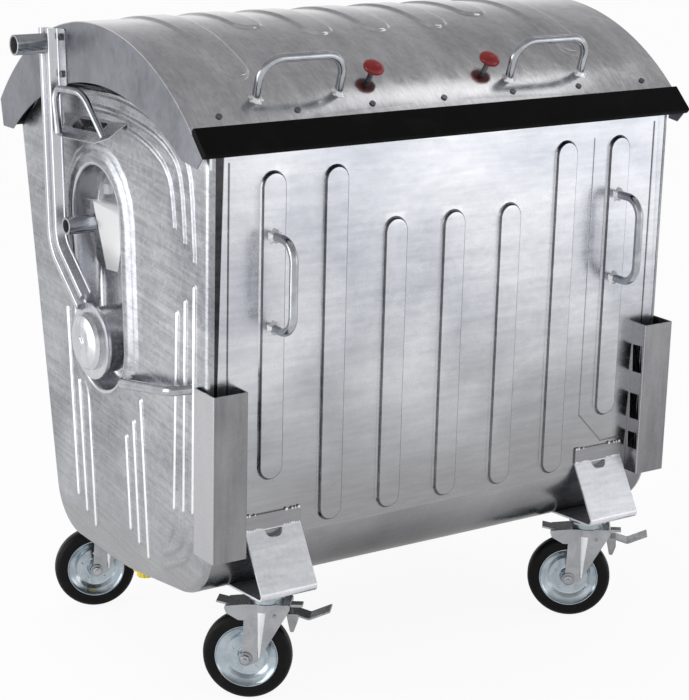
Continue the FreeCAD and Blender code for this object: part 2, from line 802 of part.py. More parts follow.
holes = []
for sign, side_name in (("-", "left"), ("", "right")):
    hole = doc.addObject("Part::Cylinder", "knob_hole_" + side_name)
    bind(hole, "Radius", "knob_stem + knob_fit")
    bind(hole, "Height", "40")
    y, z = on_dome("knob_angle", "-20")
    place(hole, sign + "knob_x", y, z, "knob_angle")
    holes.append(hole)
keep(cut("lid_dome", dome, join("knob_holes", holes)))

end = new_body("lid_end")
sketch = new_sketch(end, "YZ", "-lid_half")
outer = curve(sketch, "-dome_y", "dome_z", "dome_round - lid_skin", "end_rear", "-end_front")
inner = curve(sketch, "-end_cut_y", "end_cut_z", "end_cut_round", "end_rear_low", "-end_front_low")
close(sketch, outer, 1, inner, 1, [("end_rear - lip_lean", rear_z + " - lip_drop")])
close(sketch, outer, 2, inner, 2, [("-end_front - end_nose", front_z + " - end_nose_drop"),
                                   ("-end_front - end_chin", front_z + " - end_chin_drop")])
pad(end, sketch, "end_skin")
both_sides(place(end), "lid_end")

# Turned down lip along the rear edge of the dome, between the end plates.
lip = new_body("lid_rear_lip")
sketch = new_sketch(lip, "YZ", "-(lid_half - end_skin)")
lip_y = "dome_rear - lid_skin"
path(sketch, [(lip_y + " - lid_skin", rear_z), (lip_y, rear_z),
              (lip_y + " - lip_lean", rear_z + " - lip_drop"),
              (lip_y + " - lip_lean - lid_skin", rear_z + " - lip_drop")])
pad(lip, sketch, "2 * (lid_half - end_skin)")
keep(place(lip))

arm = new_body("lid_arm")
profile = new_sketch(arm, "XY", "arm_top")
ridge_x = "-(lid_half + arm_ridge)"
strip(profile, [
    ("-lid_half", "arm_y + arm_half"), ("-lid_half", "arm_y + arm_half * 0.85"),
    (ridge_x, "arm_y + arm_half * 0.7"), (ridge_x, "arm_y + arm_half * 0.3"),
    ("-lid_half", "arm_y + arm_half * 0.15"), ("-lid_half", "arm_y - arm_half * 0.15"),
    (ridge_x, "arm_y - arm_half * 0.3"), (ridge_x, "arm_y - arm_half * 0.7"),
    ("-lid_half", "arm_y - arm_half * 0.85"), ("-lid_half", "arm_y - arm_half"),
], "arm_plate", False)
spine = new_sketch(arm, "YZ", "-lid_half")
arm_line = [("arm_y", "arm_top"), ("arm_y", "arm_bend_z", "arm_bend_round"), ("arm_foot_y", "arm_foot_z")]
path(spine, arm_line, False)
pipe(arm, profile, spine)
sketch = new_sketch(arm, "YZ", "-lid_half")
ring(sketch, "0", "hub_z", "eye_round")
pad(arm, sketch, "arm_plate", True)
sketch = new_sketch(arm, "YZ", "-lid_half")
ring(sketch, "0", "hub_z", "cap_round")
pocket(arm, sketch, "40")
flange = new_sketch(arm, "YZ", "-lid_half")
path(flange, [("arm_y - arm_half - flange_wide", "stub_z - 92"), ("arm_y - arm_half + 2", "stub_z - 92"),
              ("arm_y - arm_half + 2", "arm_top"), ("arm_y - arm_half - flange_wide", "arm_top")])
pad(arm, flange, "arm_plate", True)
both_sides(place(arm), "lid_arm")

stub = new_body("lid_stub")
sketch = new_sketch(stub, "YZ", "-stub_end")
ring(sketch, "arm_y", "stub_z", "stub_round")
ring(sketch, "arm_y", "stub_z", "stub_round - stub_wall")
pad(stub, sketch, "stub_long")
both_sides(place(stub), "lid_stub")

seal = new_body("front_strip")
sketch = new_sketch(seal, "YZ", "-lid_half")
path(sketch, [("strip_lap", "0"), ("0", "0"), ("0", "-lid_skin"), ("-strip_long", "-lid_skin", "5"),
              ("-strip_long", "strip_thick - lid_skin", "4"), ("strip_lap", "strip_thick - lid_skin", "4")])
pad(seal, sketch, "2 * lid_half")
keep(place(seal, "0", "-dome_front", front_z, "strip_angle"))


def bar(label, plane, corners, radius, start, profile_plane, offset):
    """Round bar bent along a drawn line."""
    body = new_body(label)
    profile = new_sketch(body, profile_plane, offset)
    ring(profile, start[0], start[1], radius)
    spine = new_sketch(body, plane)
    path(spine, corners, False)
    pipe(body, profile, spine)
    return body


# Solid dome, used only to trim the feet of the lid handles.
dome_block = doc.addObject("Part::Cylinder", "dome_block")
bind(dome_block, "Radius", "dome_round")
bind(dome_block, "Height", "2 * lid_half")
across = FreeCAD.Rotation(FreeCAD.Vector(0, 1, 0), 90)
dome_block.Placement = FreeCAD.Placement(FreeCAD.Vector(0, 0, 0), across)
bind(dome_block, "Placement.Base.x", "-lid_half")
bind(dome_block, "Placement.Base.y", "axis_y - dome_y")
bind(dome_block, "Placement.Base.z", "dome_z")

for label, centre in (("lid_handle_left", "-lid_handle_left_x"), ("lid_handle_right", "lid_handle_right_x")):
    loop = bar(label + "_bar", "XZ", [
        ("-lid_handle_half", "-14"), ("-lid_handle_half", "lid_handle_tall", "lid_handle_bend"),
        ("lid_handle_half", "lid_handle_tall", "lid_handle_bend"), ("lid_handle_half", "-14")],
        "bar_round", ("-lid_handle_half", "0"), "XY", "-14")
    y, z = on_dome("lid_handle_angle", "0")
    place(loop, centre, y, z, "lid_handle_lean")
    keep(cut(label, loop, dome_block))

for sign, side_name in (("-", "left"), ("", "right")):
    knob = new_body("lid_knob_" + side_name)
    sketch = new_sketch(knob, "XZ")
    path(sketch, [
        ("-28", "0"), ("-28", "knob_stem + 4"), ("-23", "knob_stem + 4"), ("-23", "knob_stem"),
        ("knob_lift", "knob_stem"), ("knob_lift", "knob_round", "3"),
        ("knob_lift + 16", "knob_round", "13"), ("knob_lift + 18", "0"),
    ])
    turned(knob, sketch)
    y, z = on_dome("knob_angle", "0")
    upright = FreeCAD.Rotation(FreeCAD.Vector(0, 1, 0), -90)
    tilt = FreeCAD.Rotation(FreeCAD.Vector(1, 0, 0), number("knob_angle"))
    spot = FreeCAD.Vector(number(sign + "knob_x"), number(y + " + axis_y"), number(z))
    keep(knob, "lid_knob_" + side_name)
    knob.Placement = FreeCAD.Placement(spot, tilt * upright)
    bind(knob, "Placement.Base.x", sign + "knob_x")
    bind(knob, "Placement.Base.y", y + " + axis_y")
    bind(knob, "Placement.Base.z", z)

rivets = []
for step in range(-3, 4):
    head = doc.addObject("Part::Cylinder", "rivet_head")
    bind(head, "Radius", "rivet_round")
    bind(head, "Height", "rivet_head")
    y, z = on_dome("rivet_angle", "0")
    rivets.append(place(head, "%d * rivet_pitch" % step, y, z, "rivet_angle"))
for sign, lean in (("-", -90), ("", 90)):
    for height in ("stub_z + 16", "stub_z - 66"):
        rivets.append(cylinder("arm_bolt", "bolt_round", "bolt_head", sign + "(lid_half + arm_plate)",
                               "arm_y - arm_half - flange_wide / 2 + axis_y", height, lean))
keep(group("lid_rivets", rivets))

# Front handles stand on the outer ribs, in the frame of the front wall.
for sign, side_name in (("-", "left"), ("", "right")):
    loop = bar("front_handle_" + side_name, "YZ", [
        ("-rib_depth", "front_handle_half"),
        ("-rib_depth - front_handle_out", "front_handle_half", "front_handle_bend"),
        ("-rib_depth - front_handle_out", "-front_handle_half", "front_handle_bend"),
        ("-rib_depth", "-front_handle_half")],
        "bar_round", ("0", "front_handle_half"), "XZ", "rib_depth")
    keep(place(loop, sign + "front_handle_x", front_at("front_handle_z"), "front_handle_z", "front_lean"))

# Folded shelf and standing handle high on each side panel.
shelf = new_body("side_shelf")
sketch = new_sketch(shelf, "XY", "shelf_z")
path(sketch, [("-half_width", "side_handle_rear + 76"),
              ("-(half_width + 20)", "side_handle_rear + 66", "10"),
              ("-(half_width + 22)", "side_handle_rear + 22", "20"),
              ("-(side_handle_x + 16)", "side_handle_rear + 14", "12"),
              ("-(side_handle_x + 16)", "-side_handle_front - 12", "14"),
              ("-half_width", "-side_handle_front - 55")])
pad(shelf, sketch, "shelf_thick")
both_sides(place(shelf), "side_shelf")

stand = bar("side_handle", "YZ", [
    ("side_handle_rear", "shelf_z + shelf_thick"),
    ("side_handle_rear", "shelf_z + shelf_thick + side_handle_tall", "side_handle_bend"),
    ("-side_handle_front", "shelf_z + shelf_thick + side_handle_tall", "side_handle_bend"),
    ("-side_handle_front", "shelf_z + shelf_thick")],
    "side_bar_round", ("0", "side_handle_rear"), "XY", "shelf_z + shelf_thick")
both_sides(place(stand, "-side_handle_x"), "side_handle")

grab = bar("side_grab_bar_stock", "XY", [
    ("-(half_width - 8)", "-grab_rear"), ("-grab_out", "-grab_rear - grab_bend", "grab_bend"),
    ("-grab_out", "-grab_front + grab_bend", "grab_bend"), ("-(half_width - 8)", "-grab_front")],
    "grab_round", ("-grab_rear", "0"), "YZ", "-(half_width - 8)")
place(grab, "0", "0", "grab_z", "grab_tilt", (-1, 0, 0))
both_sides(cut("side_grab_bar", grab, tub_block), "side_grab_bar")

# Corner channel in the frame of the front wall, with three windows in its inner flank.
channel = new_body("corner_channel_stock")
sketch = new_sketch(channel, "XY", "channel_low - pan_top")
strip(sketch, [("-(half_width - 10)", "channel_side"), ("-channel_outer", "channel_side", "4"),
               ("-channel_outer", "-channel_deep", "5"), ("-channel_inner", "-channel_deep", "5"),
               ("-channel_inner", "10")], "channel_skin", True)
pad(channel, sketch, "channel_high - channel_low")
place(channel, "0", front_at("pan_top"), "pan_top", "front_lean")
windows = []
for level in ("low", "mid", "top"):
    low = "window_%s_z" % level
    window = doc.addObject("Part::Box", "channel_window")
    bind(window, "Length", "10 * channel_skin")
    bind(window, "Width", "channel_deep * 0.7")
    bind(window, "Height", "window_%s_tall" % level)
    window_y = front_at(low) + " - channel_deep * 0.85"
    windows.append(place(window, "-channel_inner - 5 * channel_skin", window_y, low))
both_sides(cut("corner_channel", channel, join("channel_cuts", windows + [tub_block])), "corner_channel")


# Bent plate from the wall down to the caster mount, with a notch where it leaves the wall.
def caster_leg(label, sign, at, swivel, x):
    body = new_body(label + "_stock")
    sketch = new_sketch(body, "YZ", "-leg_half")
    fold = "%s(%s + leg_reach)" % (sign, swivel)
    strip(sketch, [(at("leg_head_z"), "leg_head_z"), (at("leg_knee_z"), "leg_knee_z"),
                   (fold, "mount_z + leg_skin", "8"),
                   ("%s(%s - 110)" % (sign, swivel), "mount_z + leg_skin")], "leg_skin", sign == "")
    pad(body, sketch, "2 * leg_half")
    place(body, x)
    notch = new_body(label + "_notch")
    sketch = new_sketch(notch, "XZ", "-leg_reach")
    path(sketch, [("-notch_half", "0"), ("-notch_half", "-notch_deep", "notch_round"),
                  ("notch_half", "-notch_deep", "notch_round"), ("notch_half", "0")])
    pad(notch, sketch, "2 * leg_reach")
    place(notch, x, at("leg_knee_z"), "leg_knee_z")
    keep(cut(label, body, join(label + "_cuts", [notch, tub_block])))


def fork_outline(braked):
    """Side view of a fork; a braked one has a hood over the wheel."""
    points = [
        ("-fork_back", "fork_top", "fork_bend / 2"), ("-fork_back", "fork_top - fork_brow", "fork_bend"),
        ("trail - fork_heel", "wheel_round - fork_heel_drop", "fork_bend"),
        ("trail - fork_toe", "wheel_round - fork_toe_drop", "fork_bend"),
        ("trail + fork_toe", "wheel_round - fork_toe_drop", "fork_bend"),
    ]
    if braked:
        points += [
            ("trail + fork_lean", "hood_low"), ("trail + hood_long * 0.3", "hood_low", "fork_bend / 2"),
            ("trail + hood_long * 0.9", "hood_mid", "fork_bend"),
            ("trail + hood_long", "fork_top - hood_drop", "fork_bend / 2"),
        ]
    return points + [("trail - fork_lean", "fork_top")]


def brake_stops(fork):
    """Bore for the pedal's pin, the tab over the wheel and the stop over the pedal."""
    sketch = new_sketch(fork, "YZ", "-(fork_inner + fork_skin + 4)")
    ring(sketch, "-pedal_y", "pedal_z", "pedal_rod + axle_fit")
    pocket(fork, sketch, "4 * fork_inner", True)
    sketch = new_sketch(fork, "YZ", "-tab_half")
    strip(sketch, [("trail - 2 * fork_bend", "fork_top - fork_bend / 2"),
                   ("trail + hood_long * 0.7", "fork_top - fork_bend / 2", "fork_bend"),
                   ("tab_long", "fork_top - fork_bend / 2 + tab_rise")], "tab_thick", False)
    pad(fork, sketch, "2 * tab_half")
    sketch = new_sketch(fork, "YZ", "-stop_half")
    path(sketch, [("-stop_long", "crown_low + stop_thick"),
                  ("-race_round", "crown_low + stop_thick"),
                  ("-race_round", "crown_low + 2 * stop_thick"),
                  ("-stop_long", "crown_low + 2 * stop_thick")])
    pad(fork, sketch, "2 * stop_half")


def brake_pedal(label):
    """Pin through the fork, bent lever with its foot pad, and the shoe that swings towards the tyre."""
    pedal = new_body(label)
    sketch = new_sketch(pedal, "YZ", "-(fork_inner + fork_skin + 3)")
    ring(sketch, "-pedal_y", "pedal_z", "pedal_rod")
    pad(pedal, sketch, "2 * (fork_inner + fork_skin + 3)")
    sketch = new_sketch(pedal, "YZ", "-pedal_half")
    strip(sketch, [("-pedal_y + 2 * pedal_rod", "pedal_z + pedal_thick / 2"),
                   ("-shoe_far", "pedal_z + pedal_thick / 2", "fork_bend"),
                   ("-pedal_neck", "pedal_z - pedal_dip", "fork_bend"),
                   ("-pedal_reach", "pedal_z + pedal_rise")], "pedal_thick", True)
    pad(pedal, sketch, "2 * pedal_half")
    sketch = new_sketch(pedal, "YZ", "-shoe_half")
    path(sketch, [("-shoe_near", "pedal_z"), ("-shoe_far", "pedal_z"),
                  ("-shoe_far", "pedal_z - shoe_deep * 0.5", "fork_bend / 2"),
                  ("-shoe_far + fork_bend", "pedal_z - shoe_deep", "fork_bend / 2"),
                  ("-shoe_near - fork_bend", "pedal_z - shoe_deep", "fork_bend / 2")])
    pad(pedal, sketch, "2 * shoe_half")
    return pedal


# Swivel caster: plate and king pin on the bracket, fork, wheel and pedal turning under it.
corners = [
    ("front_left", "-", "-", "swivel_front", front_at, "turn_front_left"),
    ("front_right", "", "-", "swivel_front", front_at, "turn_front_right"),
    ("rear_left", "-", "", "swivel_rear", rear_at, "turn_rear_left"),
    ("rear_right", "", "", "swivel_rear", rear_at, "turn_rear_right"),
]
plates = []
for name, x_sign, y_sign, swivel, at, turn in corners:
    x = x_sign + "swivel_x"
    y = y_sign + swivel
    caster_leg("caster_bracket_" + name, y_sign, at, swivel, x)

    top = box("caster_plate_" + name, "-plate_half_x", "-plate_half_y", "mount_z - plate_thick",
              "2 * plate_half_x", "2 * plate_half_y", "plate_thick")
    race = cylinder("caster_race_" + name, "race_round", "race_thick", "0", "0", "race_low")
    king = cylinder("caster_king_" + name, "king_round", "race_low - crown_low - king_short",
                    "0", "0", "crown_low + king_short")
    dust = cylinder("caster_dust_" + name, "dust_round", "dust_thick", "0", "0", "race_low + dust_lift")
    heads = [top, race, dust, king]
    for bolt_x in ("-", ""):
        for bolt_y in ("-", ""):
            heads.append(cylinder("caster_bolt_" + name, "6.5", "5", bolt_x + "(plate_half_x - 9)",
                                  bolt_y + "(plate_half_y - 9)", "mount_z - plate_thick - 5"))
    plates.append(place(join("caster_mount_" + name, heads), x, y))

    fork = new_body("caster_fork_" + name)
    sketch = new_sketch(fork, "XY", "crown_low")
    ring(sketch, "0", "0", "race_round + 3")
    pad(fork, sketch, "fork_top - crown_low")
    braked = y_sign == "-"
    sketch = new_sketch(fork, "YZ", "-(fork_inner + fork_skin)")
    path(sketch, fork_outline(braked))
    pad(fork, sketch, "2 * (fork_inner + fork_skin)")
    sketch = new_sketch(fork, "YZ", "-fork_inner")
    path(sketch, [("-2 * wheel_round", "0"), ("2 * wheel_round", "0"),
                  ("2 * wheel_round", "crown_low"), ("-2 * wheel_round", "crown_low")])
    pocket(fork, sketch, "2 * fork_inner", True)
    sketch = new_sketch(fork, "YZ", "-(fork_inner + fork_skin + 4)")
    ring(sketch, "trail", "wheel_round", "axle_round")
    pad(fork, sketch, "2 * (fork_inner + fork_skin + 4)")
    sketch = new_sketch(fork, "XY", "crown_low")
    ring(sketch, "0", "0", "king_round + king_fit")
    pocket(fork, sketch, "100", True)
    if braked:
        brake_stops(fork)
    keep(place(fork, x, y, "0", turn, (0, 0, 1)))

    rim = new_body("wheel_rim_" + name)
    sketch = new_sketch(rim, "XY", "wheel_round")
    path(sketch, [
        ("-fork_inner + 1", "axle_round + axle_fit"), ("-fork_inner + 1", "axle_round + 9"),
        ("-9", "axle_round + 13"), ("-4", "rim_round - 19"), ("-15", "rim_round - 10"),
        ("-wheel_half + tyre_lip", "rim_round - 4"), ("-wheel_half + tyre_lip", "rim_round"),
        ("wheel_half - tyre_lip", "rim_round"), ("wheel_half - tyre_lip", "rim_round - 4"),
        ("15", "rim_round - 10"), ("4", "rim_round - 19"), ("9", "axle_round + 13"),
        ("fork_inner - 1", "axle_round + 9"), ("fork_inner - 1", "axle_round + axle_fit"),
    ])
    turned(rim, sketch)
    tyre = new_body("wheel_tyre_" + name)
    sketch = new_sketch(tyre, "XY", "wheel_round")
    path(sketch, [("-wheel_half + tyre_lip", "rim_round"), ("-wheel_half", "rim_round + 2 * tyre_lip"),
                  ("-wheel_half", "wheel_round", "tyre_corner"), ("wheel_half", "wheel_round", "tyre_corner"),
                  ("wheel_half", "rim_round + 2 * tyre_lip"), ("wheel_half - tyre_lip", "rim_round")])
    turned(tyre, sketch)
    for item in (rim, tyre):
        hub_x = "%s - trail * sin(%s)" % (x, turn)
        hub_y = "%s + trail * cos(%s)" % (y, turn)
        keep(place(item, hub_x, hub_y, "0", turn, (0, 0, 1)))

    if braked:
        pedal = brake_pedal("brake_pedal_" + name)
        keep(place(pedal, x, y, "0", turn, (0, 0, 1)))
keep(group("caster_plates", plates))

# Drain plug under the floor.
plug = join("plug_stock", [
    cylinder("plug_flange", "plug_round", "base_z - plug_low",
             "-plug_x", "-plug_y + axis_y", "plug_low + 16"),
    cylinder("plug_grip", "plug_round * 0.72", "24", "-plug_x", "-plug_y + axis_y", "plug_low"),
])
keep(cut("drain_plug", plug, tub_block))

doc.recompute()
bad = [item.Label for item in doc.Objects if "Invalid" in item.State or "Error" in item.State]
if bad:
    raise ValueError("not solved: " + ", ".join(bad))
os.makedirs("parts", exist_ok=True)
for item in pieces:
    shape = item.Shape
    if shape.isNull() or not shape.isValid() or not shape.Solids:
        raise ValueError("bad shape: " + item.Label)
    shape.exportStep("parts/%s.step" % item.Label)
    print(item.Label, len(shape.Solids), round(shape.Volume / 1000.0, 1), shape.BoundBox)
print(len(pieces), "pieces")
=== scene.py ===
import json
import math
import bmesh
import bpy
from mathutils import Matrix, Vector
from mathutils.geometry import delaunay_2d_cdt


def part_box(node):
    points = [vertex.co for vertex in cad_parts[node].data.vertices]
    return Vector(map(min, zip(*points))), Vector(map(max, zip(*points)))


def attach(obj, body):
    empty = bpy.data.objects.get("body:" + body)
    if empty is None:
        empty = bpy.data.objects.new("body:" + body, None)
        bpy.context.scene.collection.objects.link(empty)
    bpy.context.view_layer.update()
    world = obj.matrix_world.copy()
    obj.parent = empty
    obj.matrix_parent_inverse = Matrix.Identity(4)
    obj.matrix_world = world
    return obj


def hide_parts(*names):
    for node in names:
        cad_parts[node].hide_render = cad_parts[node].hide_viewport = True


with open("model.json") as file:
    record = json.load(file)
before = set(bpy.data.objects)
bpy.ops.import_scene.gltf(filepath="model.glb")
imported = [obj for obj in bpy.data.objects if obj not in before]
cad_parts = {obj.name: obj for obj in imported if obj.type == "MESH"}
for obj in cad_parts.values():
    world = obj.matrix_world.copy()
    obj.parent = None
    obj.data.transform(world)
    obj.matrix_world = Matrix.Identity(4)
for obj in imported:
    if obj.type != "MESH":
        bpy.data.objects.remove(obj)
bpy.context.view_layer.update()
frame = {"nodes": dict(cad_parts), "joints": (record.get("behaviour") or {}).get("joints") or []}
nodes = frame["nodes"]
joints = {joint["name"]: joint for joint in frame["joints"]}
ACROSS, UP = Vector((1, 0, 0)), Vector((0, 0, 1))
SIDES = (("left", -1), ("right", 1))
CORNERS = ("front_left", "front_right", "rear_left", "rear_right")

# Driving sizes of the container, in metres. Places along Y are measured from the lid pivot.
PIVOT_Y, PIVOT_Z = joints["lid_swing"]["pos_m"][1:]
HALF_WIDTH = 0.620
SKIN = 0.002
CORNER_ROLL = 0.014
BASE_Z = 0.228
PAN_TOP = 0.376
RIM_Z = 1.225
REAR_RIM_Z = 1.212
FRONT_FOOT, FRONT_LEAN = 0.445, math.radians(3.55)
REAR_FOOT, REAR_LEAN = 0.262, math.radians(7.5)
FRONT_OUT = Vector((0, -math.cos(FRONT_LEAN), -math.sin(FRONT_LEAN)))
FRONT_UP = Vector((0, -math.sin(FRONT_LEAN), math.cos(FRONT_LEAN)))
REAR_OUT = Vector((0, math.cos(REAR_LEAN), -math.sin(REAR_LEAN)))
RIB_PITCH, RIB_HALF, RIB_DEPTH = 0.156, 0.030, 0.009
DOME_Y, DOME_Z, DOME_ROUND = -0.027, 0.847, 0.626
LID_HALF = 0.649
RECESS_Y, RECESS_TOP, RECESS_ROUND, RECESS_DEPTH = -0.005, 1.040, 0.112, 0.053
LEG_X, LEG_KNEE_Z, LEG_HEAD_Z, LEG_SKIN = HALF_WIDTH - 0.162, 0.398, 0.436, 0.005


def at(x, y, z):
    """Point with Y measured from the lid pivot."""
    return Vector((x, y + PIVOT_Y, z))


def front_y(z):
    """Place of the leaning front wall at a height."""
    return -FRONT_FOOT - (z - BASE_Z) * math.tan(FRONT_LEAN)


def rear_y(z):
    """Place of the leaning rear wall at a height."""
    return REAR_FOOT + (z - BASE_Z) * math.tan(REAR_LEAN)


def spread(first, last, count):
    """Evenly spaced values from first to last, one more than the count."""
    return [first + (last - first) * i / count for i in range(count + 1)]


# Materials
class Wiring:
    """Short names for adding and joining the nodes of a shader tree."""

    def __init__(self, tree):
        self.tree = tree

    def add(self, kind, **values):
        """New node, with values for its inputs or, where no input has the name, its settings."""
        node = self.tree.nodes.new(kind)
        for key, value in values.items():
            if key in node.inputs.keys():
                node.inputs[key].default_value = value
            else:
                setattr(node, key, value)
        return node

    def link(self, output, node, key):
        self.tree.links.new(output, node.inputs[key])

    def math(self, operation, one, two):
        """Result of two values, each a number or an output."""
        node = self.add("ShaderNodeMath", operation=operation)
        for place, value in enumerate((one, two)):
            if isinstance(value, (int, float)):
                node.inputs[place].default_value = value
            else:
                self.link(value, node, place)
        return node.outputs[0]

    def along(self, vector, axis):
        """One of the three parts of a vector output."""
        node = self.add("ShaderNodeSeparateXYZ")
        self.link(vector, node, "Vector")
        return node.outputs[axis]


class Shader(Wiring):
    """A material with one Principled shader and the patterns that feed it."""

    def __init__(self, name, metallic, roughness, colour):
        self.material = bpy.data.materials.new(name)
        self.material.use_nodes = True
        super().__init__(self.material.node_tree)
        self.surface = self.tree.nodes["Principled BSDF"]
        self.surface.inputs["Metallic"].default_value = metallic
        self.surface.inputs["Roughness"].default_value = roughness
        self.surface.inputs["Base Color"].default_value = (*colour, 1)
        source = self.add("ShaderNodeTexCoord")
        self.place, self.facing = source.outputs["Object"], source.outputs["Normal"]

    def noise(self, scale, detail=4.0, stretch=(1, 1, 1), turn=(0, 0, 0), distortion=0.0):
        """Cloudy pattern from 0 to 1, longer along the axes with a small stretch."""
        lengths = tuple(1.0 / share for share in stretch)
        mapping = self.add("ShaderNodeMapping", vector_type="TEXTURE", Scale=lengths, Rotation=turn)
        self.link(self.place, mapping, "Vector")
        node = self.add("ShaderNodeTexNoise", Scale=scale, Detail=detail, Distortion=distortion)
        self.link(mapping.outputs["Vector"], node, "Vector")
        return node.outputs["Fac"]

    def spangle(self, size):
        """One random value for each zinc crystal."""
        node = self.add("ShaderNodeTexVoronoi", Scale=1.0 / size)
        self.link(self.place, node, "Vector")
        split = self.add("ShaderNodeSeparateColor")
        self.link(node.outputs["Color"], split, "Color")
        return split.outputs["Red"]

    def band(self, value, low, high, out_low=0.0, out_high=1.0):
        """Spread a value from low and high onto two other ends."""
        node = self.add("ShaderNodeMapRange")
        self.link(value, node, "Value")
        ends = ("From Min", "From Max", "To Min", "To Max")
        for key, number in zip(ends, (low, high, out_low, out_high)):
            node.inputs[key].default_value = number
        return node.outputs["Result"]

    def side_light_mask(self):
        """Mask of the painted side light: one where the surface faces along the width, nought elsewhere."""
        return self.band(self.math("ABSOLUTE", self.along(self.facing, "X"), 0.0), 0.6, 0.8)

    def weighted(self, *pairs):
        """Sum of outputs, each times its weight."""
        parts = [self.math("MULTIPLY", value, weight) for value, weight in pairs]
        total = parts[0]
        for part in parts[1:]:
            total = self.math("ADD", total, part)
        return total

    def mix(self, factor, one, two):
        """Colour between two others, each a colour or an output."""
        node = self.add("ShaderNodeMix", data_type="RGBA")
        self.link(factor, node, "Factor")
        for place, value in ((6, one), (7, two)):
            if isinstance(value, tuple):
                node.inputs[place].default_value = (*value, 1)
            else:
                self.link(value, node, place)
        return node.outputs[2]

    def bump(self, height, distance, strength, before=None):
        """Normal with a relief, on top of an earlier one."""
        node = self.add("ShaderNodeBump", Distance=distance, Strength=strength)
        self.link(height, node, "Height")
        if before:
            self.link(before, node, "Normal")
        return node.outputs["Normal"]

    def finish(self, colour, roughness, normal):
        """Join the patterns to the surface and hand over the material."""
        for key, value in (("Base Color", colour), ("Roughness", roughness), ("Normal", normal)):
            self.link(value, self.surface, key)
        return self.material


CLOUD_SCALE, RUN_SCALE, HAIR_SCALE, SPECK_SCALE, DENT_SCALE = 3.2, 34, 160, 420, 7.5
SKIN_RELIEF = 0.0003


def galvanised(name, dark, light, smooth, rough, crystal=0.012, grain=(1, 1, 0.06), turn=(0, 0, 0),
               wave=0.0006, cloud=0.40, streak=0.34, zone=None, fine=1.0, flank=None, metal=1.0):
    """Zinc coated sheet: crystals, cloudy patches, run marks, a fine grain and a band of height that takes
    another grey. On the walls and the belly that grey is painted shade, darker low down where the floor near
    the bin is reflected; on the side panels it is a plainer grey low down, and on the caster brackets a
    darker grey above the knee.

    A lighter colour goes on the faces that look to the sides: painted light, standing in for the light those
    faces catch.
    """
    s = Shader(name, metal, rough, light)
    crystals = s.spangle(crystal)
    clouds = s.noise(CLOUD_SCALE, 5, distortion=0.7)
    runs = s.noise(RUN_SCALE * fine, 4, grain, turn)
    hair = s.noise(HAIR_SCALE * fine, 3, (grain[0], grain[1], grain[2] * 0.6), turn)
    specks = s.noise(SPECK_SCALE, 2)
    rest = 1.0 - cloud - streak
    tone = s.weighted((s.band(clouds, 0.34, 0.66), cloud), (s.band(runs, 0.36, 0.64), streak),
                      (crystals, rest * 0.45), (s.band(hair, 0.36, 0.66), rest * 0.55))
    colour = s.mix(tone, dark, light)
    if zone:
        low, high, zone_colour, wander = zone
        height = s.math("ADD", s.along(s.place, "Z"), s.band(clouds, 0.3, 0.7, -wander, wander))
        grained = s.mix(s.band(hair, 0.35, 0.65), tuple(c * 0.91 for c in zone_colour), zone_colour)
        colour = s.mix(s.band(height, low, high), grained, colour)
    if flank:
        colour = s.mix(s.side_light_mask(), colour, flank)
    polish = s.weighted((s.band(runs, 0.30, 0.70), 0.5), (crystals, 0.22), (s.band(specks, 0.3, 0.7), 0.28))
    normal = s.bump(s.noise(DENT_SCALE, 3), wave * 6, 0.5)
    normal = s.bump(runs, wave, 0.35, normal)
    normal = s.bump(hair, wave * 0.25, 0.30, normal)
    normal = s.bump(specks, wave * 0.12, 0.35, normal)
    return s.finish(colour, s.band(polish, 0.0, 1.0, smooth, rough), normal)


def zinc(name, dark, light, rough):
    """Bright plated steel with a faint blue bloom and handling marks."""
    s = Shader(name, 1.0, rough, light)
    bloom = s.noise(26, 4, distortion=0.8)
    marks = s.noise(120, 5, (1, 1, 0.3))
    colour = s.mix(s.band(bloom, 0.3, 0.7), dark, light)
    roughness = s.band(marks, 0.3, 0.7, rough * 0.7, rough * 1.4)
    return s.finish(colour, roughness, s.bump(marks, SKIN_RELIEF, 0.25))


def rubber(name, colour, worn, rough, sheen):
    """Black rubber with a fine skin, dust and scuffs."""
    s = Shader(name, 0.0, rough, colour)
    s.surface.inputs["Specular IOR Level"].default_value = sheen
    scuff = s.noise(18, 6, distortion=0.5)
    tone = s.mix(s.band(scuff, 0.52, 0.80), colour, worn)
    roughness = s.band(scuff, 0.35, 0.75, rough * 0.8, rough * 1.25)
    return s.finish(tone, roughness, s.bump(s.noise(700, 2), SKIN_RELIEF, 0.25))


def plastic(name, colour, faded, rough):
    """Moulded plastic with slight fading and a soft skin."""
    s = Shader(name, 0.0, rough, colour)
    skin = s.noise(240, 3)
    tone = s.mix(s.band(s.noise(30, 4), 0.4, 0.75), colour, faded)
    roughness = s.band(skin, 0.3, 0.7, rough * 0.75, rough * 1.3)
    return s.finish(tone, roughness, s.bump(skin, SKIN_RELIEF, 0.2))


